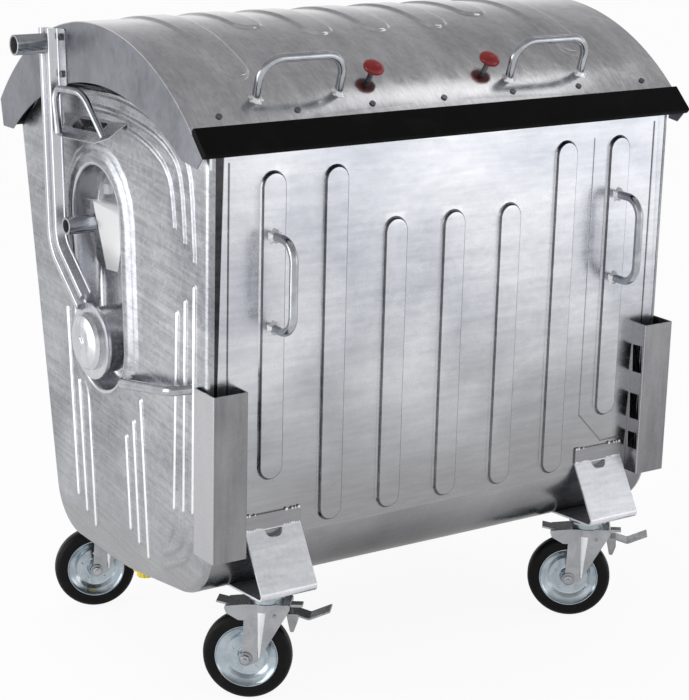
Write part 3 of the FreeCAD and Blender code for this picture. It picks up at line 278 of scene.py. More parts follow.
ALONG_X = (0.08, 1, 1)
SIDE_GRAIN, SIDE_TURN = (1, 0.035, 1), (math.radians(9), 0, 0)
LOOKS = {
    # Painted shade: from 0.80 m down to 0.44 m the front and rear walls darken to a flat darker grey,
    # standing in for the reflected floor near the bin.
    "front": galvanised("front_zinc", (0.42, 0.44, 0.49), (0.76, 0.77, 0.80), 0.20, 0.32, grain=ALONG_X,
                        cloud=0.55, streak=0.22, zone=(0.44, 0.80, (0.37, 0.37, 0.38), 0.06)),
    # Painted shade: the belly is darker than the walls and darkest low down, standing in for the shadowed
    # floor it reflects.
    "belly": galvanised("belly_painted_shade_zinc", (0.33, 0.33, 0.34), (0.41, 0.41, 0.42), 0.20, 0.32, grain=ALONG_X,
                        zone=(0.25, 0.40, (0.11, 0.11, 0.115), 0.03)),
    # Painted shade: near-black zinc for rib slopes, seams, flanges, the shelf pocket, knob stems and lid
    # rivets, where shade falls.
    "crease": galvanised("painted_shade_zinc", (0.06, 0.06, 0.065), (0.22, 0.22, 0.23), 0.20, 0.32, grain=ALONG_X),
    # Painted shade: the darkest grey, for the left front corner fold.
    "fold": galvanised("corner_painted_shade_zinc", (0.010, 0.010, 0.011), (0.075, 0.075, 0.080), 0.20, 0.34,
                       grain=(0.3, 1, 1)),
    # Painted highlight: bright zinc for the crests of the low beads on the side panels.
    "painted_highlight": galvanised("painted_highlight_zinc", (0.74, 0.74, 0.75), (0.95, 0.95, 0.96), 0.24, 0.40),
    "side": galvanised("side_zinc", (0.17, 0.18, 0.20), (0.58, 0.59, 0.62), 0.20, 0.36, grain=SIDE_GRAIN,
                       turn=SIDE_TURN, wave=0.0003, cloud=0.50, streak=0.14,
                       zone=(0.22, 0.50, (0.40, 0.40, 0.41), 0.08), fine=1.4),
    "lid": galvanised("lid_zinc", (0.42, 0.42, 0.44), (0.78, 0.78, 0.80), 0.12, 0.25, grain=(1, 0.3, 0.3),
                      wave=0.0003, cloud=0.45, streak=0.25),
    "end": galvanised("end_zinc", (0.15, 0.155, 0.175), (0.28, 0.29, 0.32), 0.26, 0.42, grain=(1, 0.4, 0.4),
                      cloud=0.5, streak=0.2),
    "press": galvanised("press_zinc", (0.48, 0.49, 0.52), (0.76, 0.77, 0.80), 0.18, 0.32),
    # Painted highlight: near-white, part-metal zinc for the trunnion bracket's slope, standing in for a
    # lamp's reflection.
    "flank": galvanised("painted_flank_light_zinc", (0.92, 0.92, 0.93), (0.98, 0.98, 0.98), 0.34, 0.46, metal=0.35),
    # The channels' faces that look to the sides get a lighter grey, painted light standing in for the light
    # they catch.
    "channel": galvanised("channel_zinc", (0.17, 0.17, 0.18), (0.33, 0.33, 0.34), 0.20, 0.36,
                          grain=(1, 1, 0.10), cloud=0.5, flank=(0.48, 0.48, 0.50)),
    "plate": galvanised("plate_zinc", (0.60, 0.61, 0.65), (0.86, 0.87, 0.91), 0.34, 0.48, crystal=0.007,
                        grain=ALONG_X, cloud=0.2, streak=0.2,
                        zone=(LEG_KNEE_Z + 0.004, LEG_KNEE_Z + 0.001, (0.34, 0.34, 0.35), 0.0)),
    "bore": galvanised("bore_zinc", (0.10, 0.105, 0.11), (0.17, 0.175, 0.18), 0.40, 0.55, metal=0.3),
    "bar": zinc("bar_zinc", (0.34, 0.35, 0.38), (0.52, 0.54, 0.57), 0.17),
    "weld": zinc("weld_zinc", (0.66, 0.67, 0.69), (0.90, 0.90, 0.91), 0.40),
    "caster": zinc("caster_zinc", (0.34, 0.40, 0.45), (0.52, 0.58, 0.62), 0.20),
    "fork": zinc("fork_zinc", (0.34, 0.35, 0.37), (0.46, 0.47, 0.49), 0.24),
    # Painted highlight: bright zinc for the rounded fold on each fork leg.
    "painted_crest_highlight": zinc("painted_crest_highlight_zinc", (0.74, 0.75, 0.77), (0.92, 0.92, 0.94), 0.30),
    "pedal": zinc("pedal_zinc", (0.22, 0.23, 0.24), (0.40, 0.41, 0.42), 0.28),
    "strip": rubber("strip_black", (0.004, 0.004, 0.004), (0.009, 0.009, 0.009), 0.60, 0.05),
    "tyre": rubber("tyre_black", (0.004, 0.004, 0.004), (0.012, 0.012, 0.011), 0.46, 0.14),
    "red": plastic("knob_red", (0.21, 0.006, 0.008), (0.26, 0.012, 0.012), 0.22),
    "yellow": plastic("plug_yellow", (0.80, 0.60, 0.02), (0.86, 0.68, 0.06), 0.40),
}
# Material slots of the looks that aren't galvanised sheet.
SLOTS = {
    "plate": "zinc_plated", "caster": "zinc_plated", "fork": "zinc_plated", "painted_crest_highlight": "zinc_plated",
    "pedal": "zinc_plated", "bar": "bar_steel", "bore": "bar_steel", "strip": "strip_rubber",
    "tyre": "tyre_rubber", "red": "red_plastic", "yellow": "yellow_plastic",
}
# Looks of marked faces on a pressed sheet, by material index: painted shade, a darker painted shade for the
# left front corner, and painted highlight. Index 0 is the sheet's own look.
TONES = ("crease", "fold", "painted_highlight")
PAINTED_SHADE, PAINTED_CORNER_SHADE, PAINTED_HIGHLIGHT = 1, 2, 3

# Shapes
SMOOTH = 38.0
NOUGHT = 1e-7


def added(name, data):
    """Object in the scene for a mesh, a lamp or the camera."""
    item = bpy.data.objects.new(name, data)
    bpy.context.scene.collection.objects.link(item)
    return item


def mesh_of(name, points, faces):
    """Mesh from points and faces."""
    mesh = bpy.data.meshes.new(name)
    mesh.from_pydata([tuple(p) for p in points], [], faces)
    return mesh


def modify(item, name, kind, **settings):
    """Add a modifier with its settings."""
    modifier = item.modifiers.new(name, kind)
    for key, value in settings.items():
        setattr(modifier, key, value)


def make(name, look, body, points, faces, angle=SMOOTH):
    """Object from points and faces, shaded smooth up to an angle, riding on a body."""
    mesh = mesh_of(name, points, faces)
    mesh.validate()
    tidy = bmesh.new()
    tidy.from_mesh(mesh)
    bmesh.ops.remove_doubles(tidy, verts=tidy.verts, dist=1e-6)
    bmesh.ops.recalc_face_normals(tidy, faces=tidy.faces)
    tidy.to_mesh(mesh)
    tidy.free()
    return show(name, mesh, look, body, angle)


def show(name, mesh, look, body, angle=SMOOTH):
    """Object for a finished mesh, with its materials and body."""
    mesh.shade_smooth()
    mesh.set_sharp_from_angle(angle=math.radians(angle))
    used = max(polygon.material_index for polygon in mesh.polygons)
    for tone in (look, *TONES)[:used + 1]:
        mesh.materials.append(LOOKS[tone])
    item = added(name, mesh)
    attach(item, body)
    SLOTS.get(look, "galvanised")
    modify(item, "even", "WEIGHTED_NORMAL", keep_sharp=True)
    return item


def turned(v, angle):
    """A flat vector turned by an angle."""
    c, s = math.cos(angle), math.sin(angle)
    return Vector((v.x * c - v.y * s, v.x * s + v.y * c))


def square_to(axis):
    """An axis made one long, and two directions square to it and to each other."""
    axis = Vector(axis).normalized()
    one = axis.orthogonal().normalized()
    return axis, one, axis.cross(one)


def spokes(one, two, count):
    """Directions all the way round, in the plane of two others."""
    turns = [2 * math.pi * k / count for k in range(count)]
    return [one * math.cos(a) + two * math.sin(a) for a in turns]


def directions(path):
    """Unit direction at each point of an open path."""
    last = len(path) - 1
    return [(path[min(i + 1, last)] - path[max(i - 1, 0)]).normalized() for i in range(len(path))]


def rounded(points, steps=8):
    """Closed line through (a, b) points and rounded (a, b, radius) points."""
    line = []
    for i, point in enumerate(points):
        here = Vector(point[:2])
        if len(point) < 3:
            line.append(here)
            continue
        before = (Vector(points[i - 1][:2]) - here).normalized()
        after = (Vector(points[(i + 1) % len(points)][:2]) - here).normalized()
        half = math.acos(max(-1.0, min(1.0, before.dot(after)))) / 2
        centre = here + (before + after).normalized() * (point[2] / math.sin(half))
        first = here + before * (point[2] / math.tan(half)) - centre
        last = here + after * (point[2] / math.tan(half)) - centre
        turn = first.angle_signed(last)
        line += [centre + turned(first, -turn * step / steps) for step in range(steps + 1)]
    return line


def around(path, radius, steps=10):
    """Closed outline at a distance from an open path, with round ends."""
    path = [Vector(p) for p in path]
    sides = [Vector((-along.y, along.x)) * radius for along in directions(path)]
    half_turn = [-math.pi * step / steps for step in range(1, steps)]
    line = [p + s for p, s in zip(path, sides)]
    line += [path[-1] + turned(sides[-1], a) for a in half_turn]
    line += [p - s for p, s in zip(reversed(path), reversed(sides))]
    return line + [path[0] + turned(-sides[0], a) for a in half_turn]


def inset(line, distance):
    """Closed line moved inwards along its own normals."""
    moved = []
    for i, p in enumerate(line):
        one = (p - line[i - 1]).normalized()
        two = (line[(i + 1) % len(line)] - p).normalized()
        along = (one + two).normalized()
        reach = distance / max(0.5, along.dot(one))
        moved.append(p + Vector((-along.y, along.x)) * reach)
    if sum(a.x * b.y - a.y * b.x for a, b in zip(line, line[1:] + line[:1])) < 0:
        moved = [2 * p - q for p, q in zip(line, moved)]
    return moved


def curve_through(points, per=6):
    """Smooth line through a few points."""
    spots = [Vector(p) for p in points]
    line = []
    for i in range(len(spots) - 1):
        a, b, c, d = spots[max(i - 1, 0)], spots[i], spots[i + 1], spots[min(i + 2, len(spots) - 1)]
        for step in range(per):
            t = step / per
            line.append(0.5 * (2 * b + (c - a) * t + (2 * a - 5 * b + 4 * c - d) * t ** 2
                               + (3 * b - a - 3 * c + d) * t ** 3))
    return line + [spots[-1]]


def from_path(point, path):
    """Distance from a point to an open path."""
    best = math.inf
    for a, b in zip(path, path[1:]):
        ab = b - a
        t = max(0.0, min(1.0, (point - a).dot(ab) / ab.length_squared))
        best = min(best, (point - a - ab * t).length)
    return best


def inside(point, line):
    """Whether a point is within a closed line."""
    found = False
    for a, b in zip(line, line[1:] + line[:1]):
        if (a.y > point.y) != (b.y > point.y):
            if point.x < (b.x - a.x) * (point.y - a.y) / (b.y - a.y) + a.x:
                found = not found
    return found


def on_field(point, outline, holes):
    """Whether a point is within an outline and in none of its holes."""
    return inside(point, outline) and not any(inside(point, hole) for hole in holes)


class Form:
    """Raised shape on a sheet: heights at distances from a path.

    Where a step of the profile is named, the faces inside it and outside the flat top take the tone: painted
    shade or a painted highlight.
    """

    def __init__(self, path, profile, crease=0, tone=PAINTED_SHADE):
        self.path = [Vector(p) for p in path]
        self.profile = profile
        self.crease = crease
        self.tone = tone

    def distance(self, point):
        return from_path(point, self.path)

    def shade(self, point):
        """Material index at a place."""
        marked = self.crease and self.profile[-1][0] < self.distance(point) < self.profile[self.crease][0]
        return self.tone if marked else 0

    def height(self, point):
        """Lift of the sheet at a place."""
        far = self.distance(point)
        if far >= self.profile[0][0]:
            return 0.0
        for (outer, low), (inner, high) in zip(self.profile, self.profile[1:]):
            if far >= inner:
                return low + (high - low) * (outer - far) / (outer - inner)
        return self.profile[-1][1]

    def rings(self):
        """Lines along which the sheet bends, each with whether it is closed."""
        return [(around(self.path, far), True) if far else (self.path, False) for far, _ in self.profile]


ROLL_STEPS = (0.15, 0.4, 0.7, 1.0)
GRID_CLEARANCE = 0.006
PROBE = (0.0, 0.8)


def ripple(u, v):
    """Slow waves of a rolled sheet, from minus one to one."""
    return (math.sin(7.3 * u + 1.1) * math.sin(5.9 * v + 0.4) + math.sin(13.1 * u - 9.7 * v)
            + math.sin(4.1 * v + 2.0 + 3.0 * math.sin(2.3 * u))) / 3


def joined(loops):
    """Points of all loops in one list, and the edges between them."""
    points, edges = [], []
    for loop, closed in loops:
        start, count = len(points), len(loop)
        points.extend(loop)
        edges.extend((start + i, start + (i + 1) % count) for i in range(count if closed else count - 1))
    return points, edges


def grid_points(outline, field, forms, holes, cell):
    """Even points over a sheet, clear of its forms and holes."""
    low = Vector((min(p.x for p in outline), min(p.y for p in outline)))
    high = Vector((max(p.x for p in outline), max(p.y for p in outline)))
    spots = []
    for i in range(1, int((high.x - low.x) / cell) + 1):
        for j in range(1, int((high.y - low.y) / cell) + 1):
            spot = Vector((low.x + i * cell, low.y + j * cell))
            near = any(form.distance(spot) < form.profile[0][0] + GRID_CLEARANCE for form in forms)
            if not near and on_field(spot, field, holes):
                spots.append(spot)
    return spots


def edge_drop(spot, outline, roll):
    """How far a rolled edge falls away at a place."""
    edge = min(roll, from_path(spot, outline + outline[:1]))
    return roll - math.sqrt(max(0.0, roll ** 2 - (roll - edge) ** 2))


def sheet(name, points, faces, out, tones=()):
    """Mesh of the drawn face of a sheet, looking along a direction."""
    mesh = mesh_of(name, points, faces)
    for polygon, tone in zip(mesh.polygons, tones):
        polygon.material_index = tone
    build = bmesh.new()
    build.from_mesh(mesh)
    bmesh.ops.delete(build, geom=[v for v in build.verts if not v.link_faces], context="VERTS")
    bmesh.ops.recalc_face_normals(build, faces=build.faces)
    if sum(f.normal.dot(out) * f.calc_area() for f in build.faces) < 0:
        bmesh.ops.reverse_faces(build, faces=build.faces)
    build.to_mesh(mesh)
    build.free()
    return mesh


def thicken(name, mesh, look, body):
    """Give a sheet its thickness behind the drawn face."""
    draft = added(name + "_draft", mesh)
    modify(draft, "wall", "SOLIDIFY", thickness=SKIN, offset=-1)
    ready = draft.evaluated_get(bpy.context.evaluated_depsgraph_get())
    solid = bpy.data.meshes.new_from_object(ready)
    bpy.data.objects.remove(draft)
    return show(name, solid, look, body)


def pressed(name, look, body, outline, forms, place, cell=0.03, holes=(), roll=None, wave=0.0):
    """Pressed sheet on a surface: place(u, v, height) gives the point in space."""
    outline = [Vector(p) for p in outline]
    rims = [inset(outline, roll * share) for share in ROLL_STEPS] if roll else []
    loops = [(loop, True) for loop in (outline, *holes, *rims)]
    points, edges = joined(loops + [ring for form in forms for ring in form.rings()])
    points += grid_points(outline, rims[-1] if rims else outline, forms, holes, cell)
    flat, _, faces, *_ = delaunay_2d_cdt(points, edges, [], 1, 1e-6)
    kept, tones = [], []
    for face in faces:
        middle = sum((flat[i] for i in face), Vector((0, 0))) / len(face)
        if on_field(middle, outline, holes):
            kept.append(face)
            tones.append(max((form.shade(middle) for form in forms), default=0))
    shaped = []
    for spot in flat:
        lift = max((form.height(spot) for form in forms), key=abs, default=0.0) + wave * ripple(*spot)
        if roll:
            lift -= edge_drop(spot, outline, roll)
        shaped.append(place(*spot, lift))
    out = place(*PROBE, 0.01) - place(*PROBE, 0.0)
    return thicken(name, sheet(name, shaped, kept, out, tones), look, body)


def bands(rows, count, start=0, closed=True):
    """Quads between neighbouring rows of points, which are numbered on from start."""
    faces = []
    for low in range(start, start + (rows - 1) * count, count):
        for i in range(count if closed else count - 1):
            j = (i + 1) % count
            faces.append((low + i, low + j, low + count + j, low + count + i))
    return faces


def loft(name, look, body, loops, cap_first=False, cap_last=True, angle=SMOOTH):
    """Skin through closed loops with equal counts."""
    points = [p for loop in loops for p in loop]
    count = len(loops[0])
    faces = bands(len(loops), count)
    if cap_first:
        faces.append(tuple(reversed(range(count))))
    if cap_last:
        last = (len(loops) - 1) * count
        faces.append(tuple(range(last, last + count)))
    return make(name, look, body, points, faces, angle)


def lathe(name, look, body, profile, origin, axis, segments=64, angle=SMOOTH):
    """Turn a closed profile of (along, radius) points about an axis."""
    axis, one, two = square_to(axis)
    points, faces = [], []
    count = len(profile)
    for out in spokes(one, two, segments):
        points += [Vector(origin) + axis * along + out * radius for along, radius in profile]
    for k in range(segments):
        a, b = k * count, (k + 1) % segments * count
        for i in range(count):
            j = (i + 1) % count
            face = (a + i, *(b + end for end in (i, j) if profile[end][1] >= NOUGHT), a + j)
            if len(face) > 2:
                faces.append(face)
    return make(name, look, body, points, faces, angle)


def sweep(name, look, body, profile, path, out):
    """Carry a closed profile of (side, out) points along a path square to the out direction."""
    out = Vector(out)
    loops = []
    for spot, along in zip(path, directions(path)):
        side = along.cross(out).normalized()
        loops.append([spot + side * a + out * b for a, b in profile])
    return loft(name, look, body, loops, True, True)


def tube(name, look, body, line, radius, sides=20):
    """Round bar along a line of points."""
    loops = []
    side = (line[1] - line[0]).orthogonal()
    for spot, along in zip(line, directions(line)):
        side = (side - along * side.dot(along)).normalized()
        loops.append([spot + out * radius for out in spokes(side, along.cross(side), sides)])
    return loft(name, look, body, loops, True, True)


STUD_SIDES = 10


def studs(name, look, body, spots, radius, height):
    """Many low domes as one piece: spots are pairs of a point and a direction."""
    points, faces = [], []
    for number, (foot, out) in enumerate(spots):
        out, one, two = square_to(out)
        size = radius * (1.0 + 0.25 * math.sin(number * 2.4))
        start = len(points)
        for share, lift in ((1.0, -0.001), (0.8, height * 0.6), (0.4, height)):
            points += [foot + spoke * size * share + out * lift for spoke in spokes(one, two, STUD_SIDES)]
        faces += bands(3, STUD_SIDES, start)
        faces.append(tuple(range(start + 2 * STUD_SIDES, start + 3 * STUD_SIDES)))
        faces.append(tuple(reversed(range(start, start + STUD_SIDES))))
    return make(name, look, body, points, faces, 60.0)


# Steps of a weld round a bar: share of the bar's radius, and height.
WELD_STEPS = ((1.75, -0.001), (1.62, 0.0015), (1.25, 0.0035), (1.02, 0.0075), (0.7, 0.0085))
WELD_SIDES = 28


def weld(name, body, foot, out, radius):
    """Lumpy fillet round the foot of a bar."""
    out, one, two = square_to(out)
    loops = []
    for wide, lift in WELD_STEPS:
        loop = []
        for k, spoke in enumerate(spokes(one, two, WELD_SIDES)):
            a = 2 * math.pi * k / WELD_SIDES
            lump = 1.0 + (wide - 0.7) * 0.10 * (math.sin(5 * a + 1.0) + math.sin(8 * a))
            loop.append(foot + spoke * radius * wide * lump + out * lift)
        loops.append(loop)
    return loft(name, "weld", body, loops, True, True)


def plate(name, look, body, outline, place, thick, bevel):
    """Flat plate with softened edges: place(u, v, depth) gives the point in space."""
    build = bmesh.new()
    lower = [build.verts.new(place(*p, 0.0)) for p in outline]
    upper = [build.verts.new(place(*p, thick)) for p in outline]
    build.faces.new(lower)
    build.faces.new(reversed(upper))
    for i in range(len(outline)):
        j = (i + 1) % len(outline)
        build.faces.new((lower[i], upper[i], upper[j], lower[j]))
    bmesh.ops.recalc_face_normals(build, faces=build.faces)
    sharp = [e for e in build.edges if e.calc_face_angle(0) > math.radians(40)]
    bmesh.ops.bevel(build, geom=sharp, offset=bevel, segments=2, profile=0.6, affect="EDGES")
    mesh = bpy.data.meshes.new(name)
    build.to_mesh(mesh)
    build.free()
    return show(name, mesh, look, body)


# Front and rear walls with their pressed ribs. Profiles are pairs of a distance and a height.
RIB_PROFILE = [(RIB_HALF + 0.0030, 0.0), (RIB_HALF + 0.0014, 0.0012), (RIB_HALF - 0.0002, 0.0046),
               (RIB_HALF - 0.0018, 0.0078), (RIB_HALF - 0.0036, RIB_DEPTH)]
BEAD_PROFILE = [(0.0100, 0.0), (0.0078, 0.0008), (0.0050, 0.0029), (0.0024, 0.0043), (0.0, 0.0048)]
SEAM_PROFILE = [(0.0022, 0.0), (0.0015, -0.0010), (0.0006, -0.0016)]
FLANGE_PROFILE = [(0.0030, 0.0), (0.0020, -0.0010), (0.0, -0.0013)]
FOLD_PROFILE = [(0.0150, 0.0), (0.0138, -0.0010), (0.0, -0.0012)]
WALL_HALF = HALF_WIDTH - CORNER_ROLL
WALL_WAVE = 0.0007
RIB_TOP_INNER, RIB_TOP, RIB_FOOT, RIB_FOOT_OUTER = 1.054, 1.181, 0.392, 0.512
REAR_RIB_PITCH, REAR_RIB_FOOT, REAR_RIB_TOP = 0.240, 0.456, 1.120
SEAM_LINE = [(0.395, 1.180), (0.395, 0.520), (0.465, 0.447), (0.520, 0.447)]
FLANGE_X, FLANGE_FOOT, FLANGE_TOP = WALL_HALF - 0.032, PAN_TOP + 0.02, RIM_Z - 0.02
FOLD_LINE = [(-0.007, RIM_Z + 0.020), (0.006, 0.700), (0.008, PAN_TOP - 0.020)]


def on_front(x, z, out):
    """Point at a distance from the front wall."""
    return at(x, front_y(z), z) + FRONT_OUT * out


def on_rear(x, z, out):
    """Point at a distance from the rear wall."""
    return at(x, rear_y(z), z) + REAR_OUT * out


def rib(x, foot, top):
    """Upright rib whose steep slope takes painted shade, a dark edge line."""
    return Form([(x, foot + RIB_HALF), (x, top - RIB_HALF)], RIB_PROFILE, 2)


def wall_outline(top):
    """Outline of a wall between the belly sheet and its rim."""
    return [(-WALL_HALF, PAN_TOP), (WALL_HALF, PAN_TOP), (WALL_HALF, top), (-WALL_HALF, top)]


def front_wall():
    """Front sheet: seven ribs, a seam at the right, and a flange and a fold along each edge."""
    forms = []
    for step in range(-3, 4):
        top = RIB_TOP_INNER if abs(step) < 2 else RIB_TOP
        foot = RIB_FOOT_OUTER if abs(step) == 3 else RIB_FOOT
        forms.append(rib(step * RIB_PITCH, foot, top))
    # The seam's groove takes painted shade.
    forms.append(Form(SEAM_LINE, SEAM_PROFILE, 1))
    for side, sign in SIDES:
        x = sign * FLANGE_X
        # Each flange step takes painted shade.
        forms.append(Form([(x, FLANGE_FOOT), (x, FLANGE_TOP)], FLANGE_PROFILE, 1))
        line = [(sign * (WALL_HALF + share), z) for share, z in FOLD_LINE]
        # On the left the fold takes the darkest painted shade, a dark band in the corner; the right one
        # stays plain.
        forms.append(Form(line, FOLD_PROFILE, 1 if side == "left" else 0, PAINTED_CORNER_SHADE))
    # The front look paints shade low on the wall.
    wall = pressed("front_wall_sheet", "front", "tub", wall_outline(RIM_Z), forms, on_front, wave=WALL_WAVE)
    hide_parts("front_wall")


def rear_wall():
    """Rear sheet with five ribs."""
    forms = [rib(step * REAR_RIB_PITCH, REAR_RIB_FOOT, REAR_RIB_TOP) for step in range(-2, 3)]
    outline = wall_outline(REAR_RIM_Z)
    wall = pressed("rear_wall_sheet", "front", "tub", outline, forms, on_rear, wave=WALL_WAVE)
    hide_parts("rear_wall")


# Section of the tub, as places along Y and Z.
LOW_LINE = [
    (front_y(BASE_Z + 0.026), BASE_Z + 0.026, 0.135), (-0.060, BASE_Z, 0.900),
    (rear_y(BASE_Z + 0.024), BASE_Z + 0.024, 0.125),
]
TUB_LINE = [(front_y(RIM_Z), RIM_Z)] + LOW_LINE + [
    (rear_y(REAR_RIM_Z), REAR_RIM_Z), (0.235, 1.332, 0.240), (-0.310, 1.332, 0.330),
]
PAN_COLUMNS, PAN_WAVE = 24, 0.0004


def floor_pan():
    """Belly sheet between the rolled edges of the side panels."""
    line = rounded([(front_y(PAN_TOP), PAN_TOP)] + LOW_LINE + [(rear_y(PAN_TOP), PAN_TOP)], 16)
    across = spread(-WALL_HALF, WALL_HALF, PAN_COLUMNS)
    points = [at(x, y, z + PAN_WAVE * ripple(x, y)) for y, z in line for x in across]
    faces = bands(len(line), len(across), closed=False)
    # The belly look is painted shade for the bin's shadow on the reflected floor.
    pan = thicken("floor_pan_sheet", sheet("floor_pan_sheet", points, faces, -UP), "belly", "tub")
    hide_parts("floor_pan")


# Side panels with their beads, the raised field round the recess and the recess itself.
ARCHES = [
    [(-0.060, 1.252), (-0.142, 1.246), (-0.200, 1.235), (-0.250, 1.219), (-0.300, 1.195), (-0.330, 1.168),
     (-0.345, 1.130), (-0.352, 1.060)],
    [(0.040, 1.283), (-0.060, 1.281), (-0.144, 1.273), (-0.230, 1.258), (-0.300, 1.237), (-0.350, 1.210),
     (-0.378, 1.178), (-0.390, 1.120), (-0.394, 1.032)],
    [(0.040, 1.317), (-0.058, 1.317), (-0.147, 1.310), (-0.225, 1.295), (-0.308, 1.270), (-0.370, 1.238),
     (-0.410, 1.204), (-0.428, 1.150), (-0.434, 0.998)],
]
HOOKS = [
    [(-0.318, 0.440), (-0.308, 0.385), (-0.285, 0.358)],
    [(-0.360, 0.445), (-0.348, 0.372), (-0.318, 0.343), (-0.262, 0.318)],
    [(-0.400, 0.450), (-0.388, 0.372), (-0.354, 0.326), (-0.262, 0.287)],
]
LOW_BEADS = [
    [(-0.354, 0.874), (-0.318, 0.440)], [(-0.391, 0.904), (-0.360, 0.445)],
    [(-0.431, 0.940), (-0.400, 0.450)], [(0.171, 0.800), (0.152, 0.356)], [(0.125, 0.634), (0.109, 0.326)],
    [(0.079, 0.640), (0.066, 0.300)], [(-0.102, 0.548), (-0.111, 0.338)],
    [(-0.140, 0.590), (-0.150, 0.316)], [(-0.177, 0.646), (-0.192, 0.292)],
]
RECESS_PATH = [(RECESS_Y, PIVOT_Z), (RECESS_Y, RECESS_TOP)]
LIP_ROUND, RECESS_STEPS = RECESS_ROUND + 0.010, 24
FIELD_RISE = 0.0106
FIELD_PROFILE = [(0.190, 0.0), (0.172, 0.0008), (0.167, 0.0014), (0.161, 0.0042), (0.154, 0.0046),
                 (0.150, 0.0056), (0.143, 0.0092), (0.138, 0.0104), (0.132, FIELD_RISE)]
# Radius of the recess wall and its distance from the panel, from the lip to the floor.
RECESS_PROFILE = [
    (LIP_ROUND, FIELD_RISE), (LIP_ROUND - 0.003, FIELD_RISE + 0.0004),
    (LIP_ROUND - 0.006, FIELD_RISE - 0.0008), (RECESS_ROUND + 0.001, FIELD_RISE - 0.0045),
    (RECESS_ROUND - 0.0005, -0.004), (RECESS_ROUND - 0.001, -0.012), (RECESS_ROUND - 0.003, -0.036),
    (RECESS_ROUND - 0.006, -0.046), (RECESS_ROUND - 0.012, -0.0515), (RECESS_ROUND - 0.022, -RECESS_DEPTH),
]
SIDE_WAVE = 0.0006


def side_panel(side, sign):
    """Side sheet with beads and a rolled edge, and the recess pan set into it."""
    def place(y, z, out):
        return at(sign * (HALF_WIDTH + out), y, z)

    forms = [Form(curve_through(line), BEAD_PROFILE) for line in ARCHES + HOOKS]
    # The crests of the low beads take a painted highlight, bright lines along them.
    forms += [Form(line, BEAD_PROFILE, 2, PAINTED_HIGHLIGHT) for line in LOW_BEADS]
    forms.append(Form(RECESS_PATH, FIELD_PROFILE))
    hole = around(RECESS_PATH, LIP_ROUND, RECESS_STEPS)
    panel = pressed("side_panel_sheet_" + side, "side", "tub", rounded(TUB_LINE, 14), forms, place,
                    holes=[hole], roll=CORNER_ROLL, wave=SIDE_WAVE)
    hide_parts("side_panel_" + side)
    loops = []
    for radius, out in RECESS_PROFILE:
        loops.append([place(*p, out) for p in around(RECESS_PATH, radius, RECESS_STEPS)])
    pan = loft("recess_pan_sheet_" + side, "press", "tub", loops)
    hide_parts("recess_pan_" + side)


# Lid: domed sheet with swages, arms with two ridges and turned hub caps.
SWAGE_PROFILE = [(0.0400, 0.0), (0.0380, 0.0006), (0.0350, 0.0026), (0.0318, 0.0046), (0.0290, 0.0052)]
SWAGES = [(-0.473, -0.384), (0.441, -0.384), (-0.324, -0.197), (0.295, -0.197),
          (-0.174, -0.251), (-0.018, -0.251), (0.142, -0.251)]
SWAGE_REAR, SWAGE_REACH, SWAGE_STEPS = 0.300, 0.036, 30
DOME_FRONT, DOME_REAR, DOME_STEPS = -0.488, 0.437, 40
DOME_CELL, DOME_WAVE = 0.028, 0.0006


def dome_turn(y):
    """Angle on the dome, from its top towards the rear."""
    return math.asin((y - DOME_Y) / DOME_ROUND)


def on_dome(x, turn, out=0.0):
    """Point at a distance from the dome."""
    radius = DOME_ROUND + out
    return at(x, DOME_Y + radius * math.sin(turn), DOME_Z + radius * math.cos(turn))


def lid_dome():
    """Domed sheet, drawn flat by its width and the length of its arc."""
    def place(x, along, out):
        return on_dome(x, along / DOME_ROUND, out)

    low, high, end = (dome_turn(y) * DOME_ROUND for y in (DOME_FRONT, DOME_REAR, SWAGE_REAR))
    forms = []
    for x, front in SWAGES:
        start = dome_turn(front) * DOME_ROUND + SWAGE_REACH
        forms.append(Form([(x, along) for along in spread(start, end, SWAGE_STEPS)], SWAGE_PROFILE))
    outline = [(-LID_HALF, along) for along in spread(low, high, DOME_STEPS)]
    outline += [(LID_HALF, along) for along in spread(high, low, DOME_STEPS)]
    dome = pressed("lid_dome_sheet", "lid", "lid", outline, forms, place, DOME_CELL, wave=DOME_WAVE)
    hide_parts("lid_dome")


ARM_Y, ARM_TOP, ARM_HALF, ARM_PLATE = 0.137, 1.452, 0.036, 0.003
ARM_RISE = ARM_PLATE + 0.020
# Section of an arm: share of its half width, height and rounding.
ARM_SECTION = [
    (-1.0, ARM_PLATE), (-0.85, ARM_PLATE, 0.003), (-0.70, ARM_RISE, 0.004), (-0.30, ARM_RISE, 0.004),
    (-0.15, ARM_PLATE, 0.003), (0.15, ARM_PLATE, 0.003), (0.30, ARM_RISE, 0.004), (0.70, ARM_RISE, 0.004),
    (0.85, ARM_PLATE, 0.003), (1.0, ARM_PLATE), (1.0, 0.0), (-1.0, 0.0),
]
ARM_LINE = [(ARM_Y, ARM_TOP), (ARM_Y, 0.960, 0.085), (0.012, 0.846)]
EYE_ROUND, EYE_HOLE, EYE_SOFT = 0.088, 0.066, 0.001
WING_FRONT, WING_REAR = ARM_Y - ARM_HALF - 0.032, ARM_Y - ARM_HALF + 0.002
WING_FOOT, WING_ROUND = 1.326, 0.006
HUB_PROFILE = [
    (-0.069, 0.020), (-0.069, 0.076), (-0.010, 0.076), (-0.008, 0.078), (-0.008, 0.085), (-0.0065, 0.086),
    (-0.0012, 0.086), (0.0, 0.085), (0.0, 0.0665), (0.012, 0.0655), (0.020, 0.0590), (0.0255, 0.0470),
    (0.0275, 0.0340), (0.0280, 0.0170), (0.0290, 0.0145), (0.0310, 0.0135), (0.0320, 0.0115),
    (0.0320, 0.0), (0.0, 0.0), (0.0, 0.020),
]


